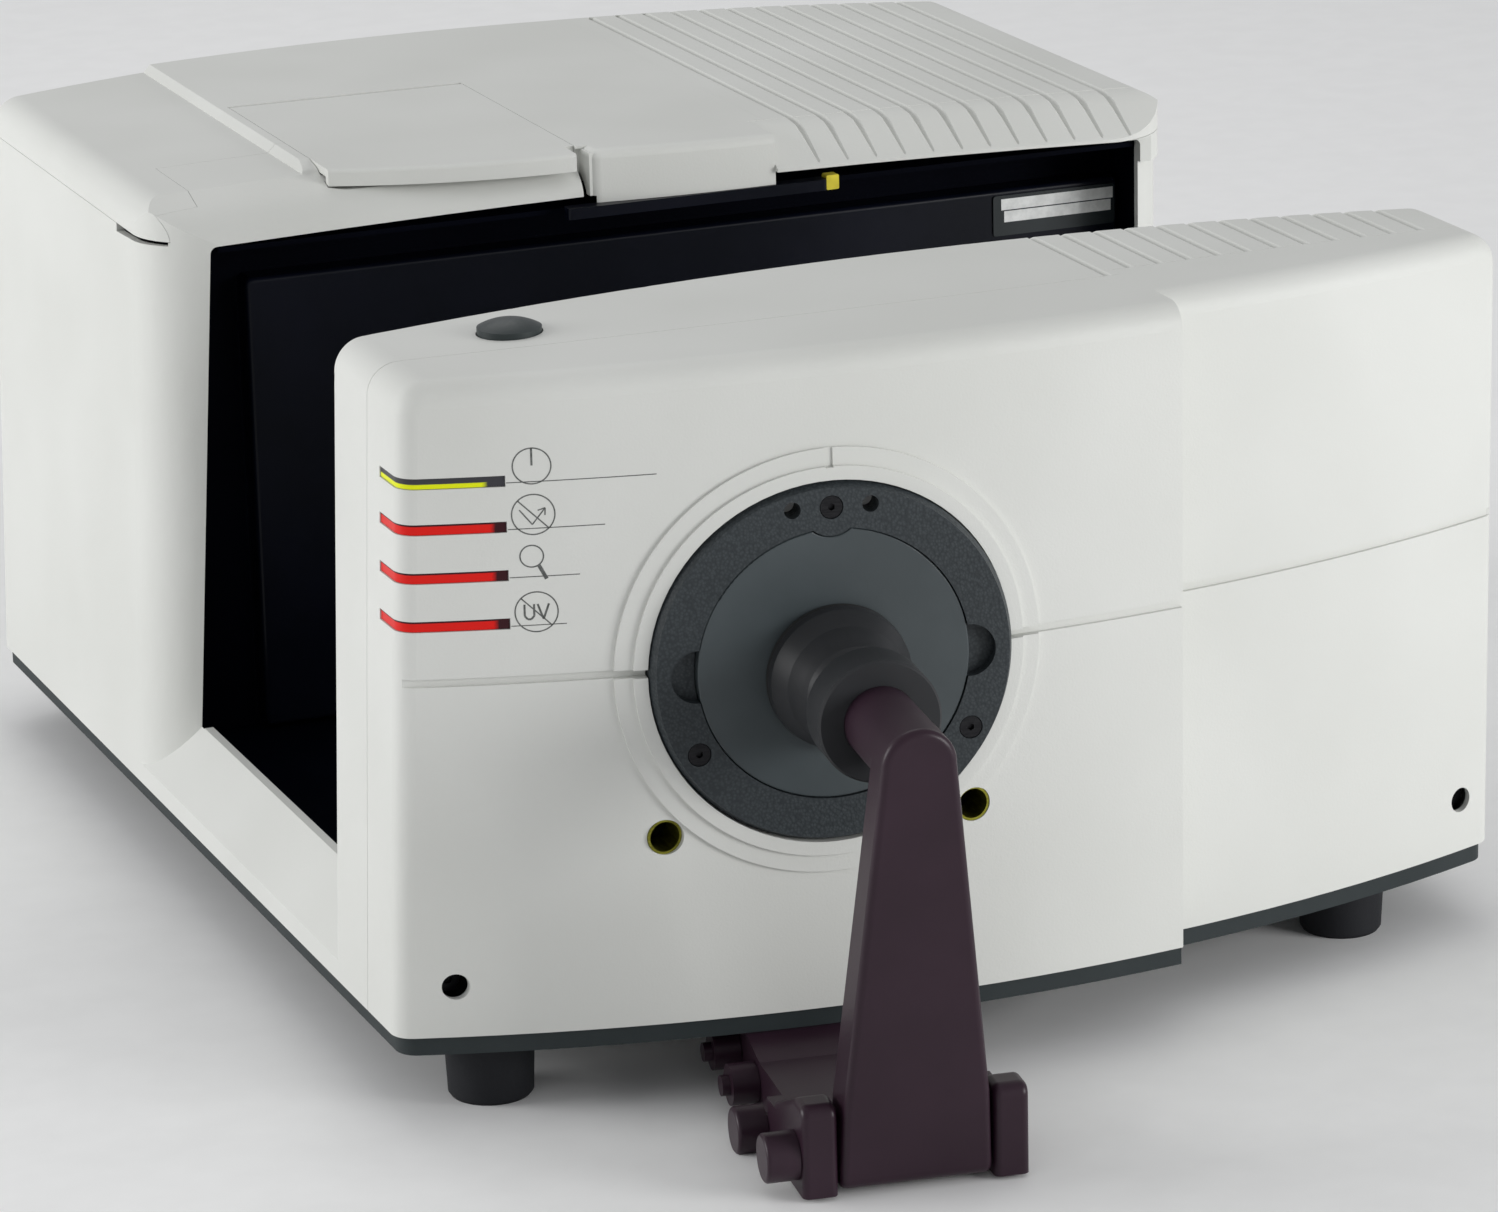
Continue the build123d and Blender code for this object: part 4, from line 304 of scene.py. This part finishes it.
# Nodes with a finish of their own. A lamp window's last two values are the height in metres above
# which its painted shade lies, and the length in millimetres of its darker right end.
NODE_FINISHES = {
    "clamp_pad": CLAMP_TIP,
    "clamp_plunger": CLAMP_TIP,
    # The brass of the bushes is darkened all over as painted shade of their bores.
    "accessory_bushes": worked_metal("brass_with_painted_shade", (0.20, 0.19, 0.03), (0.34, 0.33, 0.05), 0.42),
    "power_light": lamp_window("power_window", LAMP_YELLOW, WINDOW_SHADE_GREY, 0.2358, 5.0),
    "specular_light": lamp_window("specular_window", LAMP_RED, WINDOW_SHADE_RED, 0.2207, 3.0),
    "lens_light": lamp_window("lens_window", LAMP_RED, WINDOW_SHADE_RED, 0.2032, 3.0),
    "uv_light": lamp_window("uv_window", LAMP_RED, WINDOW_SHADE_RED, 0.1857, 3.0),
}

for part in frame["record"]["subparts"]:
    node = NODES[part["node"]]
    node.data.materials.clear()
    node.data.materials.append(NODE_FINISHES.get(part["node"]) or FINISHES[part["material_slot"]])


# ---- camera --------------------------------------------------------------------------------------

CAMERA_PLACE = (-0.8375, -2.0637, 0.7968)
CAMERA_LOOK = (0.357, 0.886, -0.296)
CAMERA_RIGHT = (0.925, -0.380, -0.023)
SENSOR_MM = 36.0
LENS_MM = 142.24


def photo_camera():
    """The photograph's own viewpoint."""
    bpy.ops.object.camera_add()
    camera = bpy.context.object
    camera.name = "photo_camera"
    forward = Vector(CAMERA_LOOK).normalized()
    right = Vector(CAMERA_RIGHT)
    right = (right - forward * right.dot(forward)).normalized()
    up = right.cross(forward)
    turn = Matrix((right, up, -forward)).transposed().to_4x4()
    camera.matrix_world = Matrix.Translation(CAMERA_PLACE) @ turn
    camera.data.sensor_width = SENSOR_MM
    camera.data.lens = LENS_MM
    camera.data.clip_start = 0.05
    camera.data.clip_end = 50.0
    bpy.context.scene.camera = camera


# ---- studio --------------------------------------------------------------------------------------

FLOOR_SIZE = 14.0
FLOOR_CUTS = 6
WORLD_LIGHT = 0.46

# Each lamp's name, place, target and size in metres, and its power in watts.
SOFT_BOXES = (
    ("left_box", (-2.8, 0.9, 0.9), (0.0, 0.1, 0.14), (1.6, 1.2), 45.0),
    ("right_box", (2.1, -2.4, 0.8), (0.0, -0.1, 0.14), (1.6, 1.2), 56.0),
    ("rear_box", (0.2, 1.9, 2.4), (0.0, 0.1, 0.1), (1.6, 1.6), 12.0),
)


def soft_box(name, place, target, size, watts):
    """Large area lamp facing a point."""
    bpy.ops.object.light_add(type="AREA", location=place)
    lamp = bpy.context.object
    lamp.name = name
    lamp.data.shape = "RECTANGLE"
    lamp.data.size, lamp.data.size_y = size
    lamp.data.energy = watts
    facing = Vector(target) - Vector(place)
    lamp.rotation_euler = facing.to_track_quat("-Z", "Y").to_euler()


def studio_floor():
    """Plain pale floor that takes the object's soft shadow."""
    bpy.ops.object.select_all(action="DESELECT")
    bpy.ops.mesh.primitive_plane_add(size=FLOOR_SIZE)
    floor = bpy.context.object
    floor.name = "studio_floor"
    bpy.ops.object.mode_set(mode="EDIT")
    bpy.ops.mesh.subdivide(number_cuts=FLOOR_CUTS)
    bpy.ops.object.mode_set(mode="OBJECT")
    finish, shader, place = new_finish("studio_floor", (0.9, 0.9, 0.9), 0.9)
    speck = grain(finish, place, FLOOR_SPECK, 2.0)
    tint(finish, shader, speck.outputs["Fac"], (0.90, 0.90, 0.895), (0.92, 0.92, 0.915))
    floor.data.materials.append(finish)


def studio_world():
    """White to the camera, softer as a light source."""
    world = bpy.data.worlds.new("studio_world")
    world.use_nodes = True
    bpy.context.scene.world = world
    nodes = world.node_tree.nodes
    links = world.node_tree.links
    seen = nodes["Background"]
    seen.inputs["Color"].default_value = (1.0, 1.0, 1.0, 1.0)
    seen.inputs["Strength"].default_value = 1.0
    lit = nodes.new("ShaderNodeBackground")
    lit.inputs["Color"].default_value = (0.97, 0.98, 1.0, 1.0)
    lit.inputs["Strength"].default_value = WORLD_LIGHT
    ray = nodes.new("ShaderNodeLightPath")
    mix = nodes.new("ShaderNodeMixShader")
    links.new(ray.outputs["Is Camera Ray"], mix.inputs["Fac"])
    links.new(lit.outputs["Background"], mix.inputs[1])
    links.new(seen.outputs["Background"], mix.inputs[2])
    links.new(mix.outputs["Shader"], nodes["World Output"].inputs["Surface"])


# ---- printed marks -------------------------------------------------------------------------------

# Marks are drawn on a plane in front of the case, then pressed onto it along +Y. PRINT_Y and the
# strokes are in metres, and the places of the marks are in millimetres.
PRINT_Y = -0.30
STROKE = 0.45 * MM
LEADER_STROKE = 0.34 * MM
BOLD_STROKE = 0.7 * MM
HANDLE_STROKE = 1.3 * MM
STROKE_STEP = 3.0 * MM      # strokes are cut about this often, so that they follow the curved case
RING_POINTS = 72
INK_MM = 0.05
STRIP_MM = 0.06

MARK_X = -172.4             # middle of the column of pictograms
LEADER_START_X = -181.0
LEADERS = ((235.4, -130.4), (218.6, -148.4), (201.2, -157.4), (183.6, -162.4))  # height, right end

STRIP_HEIGHT = 4.7 * MM
STRIPS = ((226.2, 158.4, 209.6), (221.0, 159.7, 208.6))     # height, left end, right end


def take_selection(*objects):
    """Only these objects are selected, the last one active."""
    bpy.ops.object.select_all(action="DESELECT")
    for item in objects:
        item.select_set(True)
        bpy.context.view_layer.objects.active = item


def settle(item):
    """Place, turn and size go into the mesh, so the object sits at the origin."""
    take_selection(item)
    bpy.ops.object.transform_apply(location=True, rotation=True, scale=True)


def printed_ring(x, z, radius):
    """Thin circle on the print plane."""
    middle = (x * MM, PRINT_Y, z * MM)
    bpy.ops.object.select_all(action="DESELECT")
    bpy.ops.mesh.primitive_circle_add(
        vertices=RING_POINTS, radius=(radius - 0.5 * STROKE / MM) * MM, fill_type="NOTHING",
        location=middle, rotation=(math.pi / 2, 0.0, 0.0),
    )
    ring = bpy.context.object
    bpy.ops.object.mode_set(mode="EDIT")
    bpy.ops.mesh.select_all(action="SELECT")
    bpy.ops.mesh.extrude_edges_move()
    wide = radius / (radius - STROKE / MM)
    bpy.ops.transform.resize(value=(wide, wide, wide), center_override=middle)
    bpy.ops.object.mode_set(mode="OBJECT")
    settle(ring)
    return ring


def printed_stroke(x0, z0, x1, z1, width=STROKE):
    """Thin straight line between two points of the print plane."""
    bpy.ops.object.select_all(action="DESELECT")
    length = math.hypot(x1 - x0, z1 - z0) * MM
    bpy.ops.mesh.primitive_plane_add(
        size=1.0, location=((x0 + x1) / 2 * MM, PRINT_Y, (z0 + z1) / 2 * MM),
        rotation=(math.pi / 2, -math.atan2(z1 - z0, x1 - x0), 0.0),
    )
    stroke = bpy.context.object
    stroke.scale = (length, width, 1.0)
    settle(stroke)
    bpy.ops.object.mode_set(mode="EDIT")
    bpy.ops.mesh.select_all(action="SELECT")
    bpy.ops.mesh.subdivide(number_cuts=max(1, int(length / STROKE_STEP)))
    bpy.ops.object.mode_set(mode="OBJECT")
    return stroke


def printed_path(points, width=STROKE):
    """Strokes from point to point; each point is its offset from MARK_X and its height."""
    return [
        printed_stroke(MARK_X + x0, z0, MARK_X + x1, z1, width)
        for (x0, z0), (x1, z1) in zip(points, points[1:])
    ]


def press_onto(item, carrier, thickness_mm):
    """Lays flat marks on a curved case part along +Y and gives them an ink's thickness."""
    take_selection(item)
    lay = item.modifiers.new("lay", "SHRINKWRAP")
    lay.target = carrier
    lay.wrap_method = "PROJECT"
    lay.use_project_y = True
    lay.use_positive_direction = True
    lay.use_negative_direction = False
    bpy.ops.object.modifier_apply(modifier=lay.name)
    ink = item.modifiers.new("ink", "SOLIDIFY")
    ink.thickness = 2.0 * thickness_mm * MM     # the lower half is in the carrier
    ink.offset = 0.0
    bpy.ops.object.modifier_apply(modifier=ink.name)


def printed_group(name, parts, carrier, finish, thickness_mm=INK_MM):
    """Joins marks to one piece, presses it on and gives it its ink."""
    take_selection(*parts)
    bpy.ops.object.join()
    group = bpy.context.object
    group.name = name
    group.data.name = name
    press_onto(group, carrier, thickness_mm)
    group.data.materials.append(finish)
    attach(group, "case")


def status_marks():
    """Leader lines and pictograms beside the four lamp windows."""
    ink, shader, place = new_finish("print_grey", (0.10, 0.105, 0.10), 0.6)
    wear = grain(ink, place, INK_WEAR, 2.0)
    tint(ink, shader, wear.outputs["Fac"], (0.075, 0.08, 0.075), (0.15, 0.155, 0.15))
    cover = NODES["front_cover"]

    leaders = [printed_stroke(LEADER_START_X, z, end, z, LEADER_STROKE) for z, end in LEADERS]
    printed_group("leader_lines", leaders, cover, ink)

    power = [printed_ring(MARK_X, 241.0, 6.4)]
    power += printed_path(((0.0, 241.2), (0.0, 247.6)), BOLD_STROKE)
    printed_group("power_mark", power, cover, ink)

    gloss = [printed_ring(MARK_X, 223.6, 7.2)]
    gloss += printed_path(((-5.1, 228.7), (5.1, 218.5)))
    gloss += printed_path(((-4.6, 225.4), (-0.4, 220.0), (4.0, 225.8), (3.9, 223.2)))
    gloss += printed_path(((4.0, 225.8), (1.5, 225.0)))
    printed_group("gloss_mark", gloss, cover, ink)

    lens = [printed_ring(MARK_X - 1.0, 208.6, 3.9)]
    lens += printed_path(((1.2, 205.4), (3.8, 200.2)), HANDLE_STROKE)
    printed_group("lens_mark", lens, cover, ink)

    letter_u = (
        (-4.0, 191.2), (-4.0, 187.0), (-3.0, 185.8), (-1.8, 185.8), (-0.8, 187.0), (-0.8, 191.2),
    )
    letter_v = ((0.4, 191.2), (2.3, 185.7), (4.2, 191.2))
    filtered = [printed_ring(MARK_X, 188.4, 7.2)]
    filtered += printed_path(((-5.1, 193.5), (5.1, 183.3)))
    filtered += printed_path(letter_u, BOLD_STROKE)
    filtered += printed_path(letter_v, BOLD_STROKE)
    printed_group("filter_mark", filtered, cover, ink)


def label_strips():
    """Two blank pale strips on the dark plate in the compartment."""
    pale, shader, place = new_finish("strip_white", (0.78, 0.79, 0.78), 0.45)
    smudge = grain(pale, place, STRIP_SMUDGE)
    tint(pale, shader, smudge.outputs["Fac"], (0.66, 0.67, 0.66), (0.80, 0.81, 0.80))
    strips = [printed_stroke(left, z, right, z, STRIP_HEIGHT) for z, left, right in STRIPS]
    printed_group("label_strips", strips, NODES["blank_label"], pale, STRIP_MM)


# ---- the scene -----------------------------------------------------------------------------------

bpy.ops.object.select_all(action="DESELECT")
photo_camera()
studio_floor()
studio_world()
for box in SOFT_BOXES:
    soft_box(*box)

status_marks()
label_strips()

bpy.context.scene.view_settings.view_transform = "Standard"
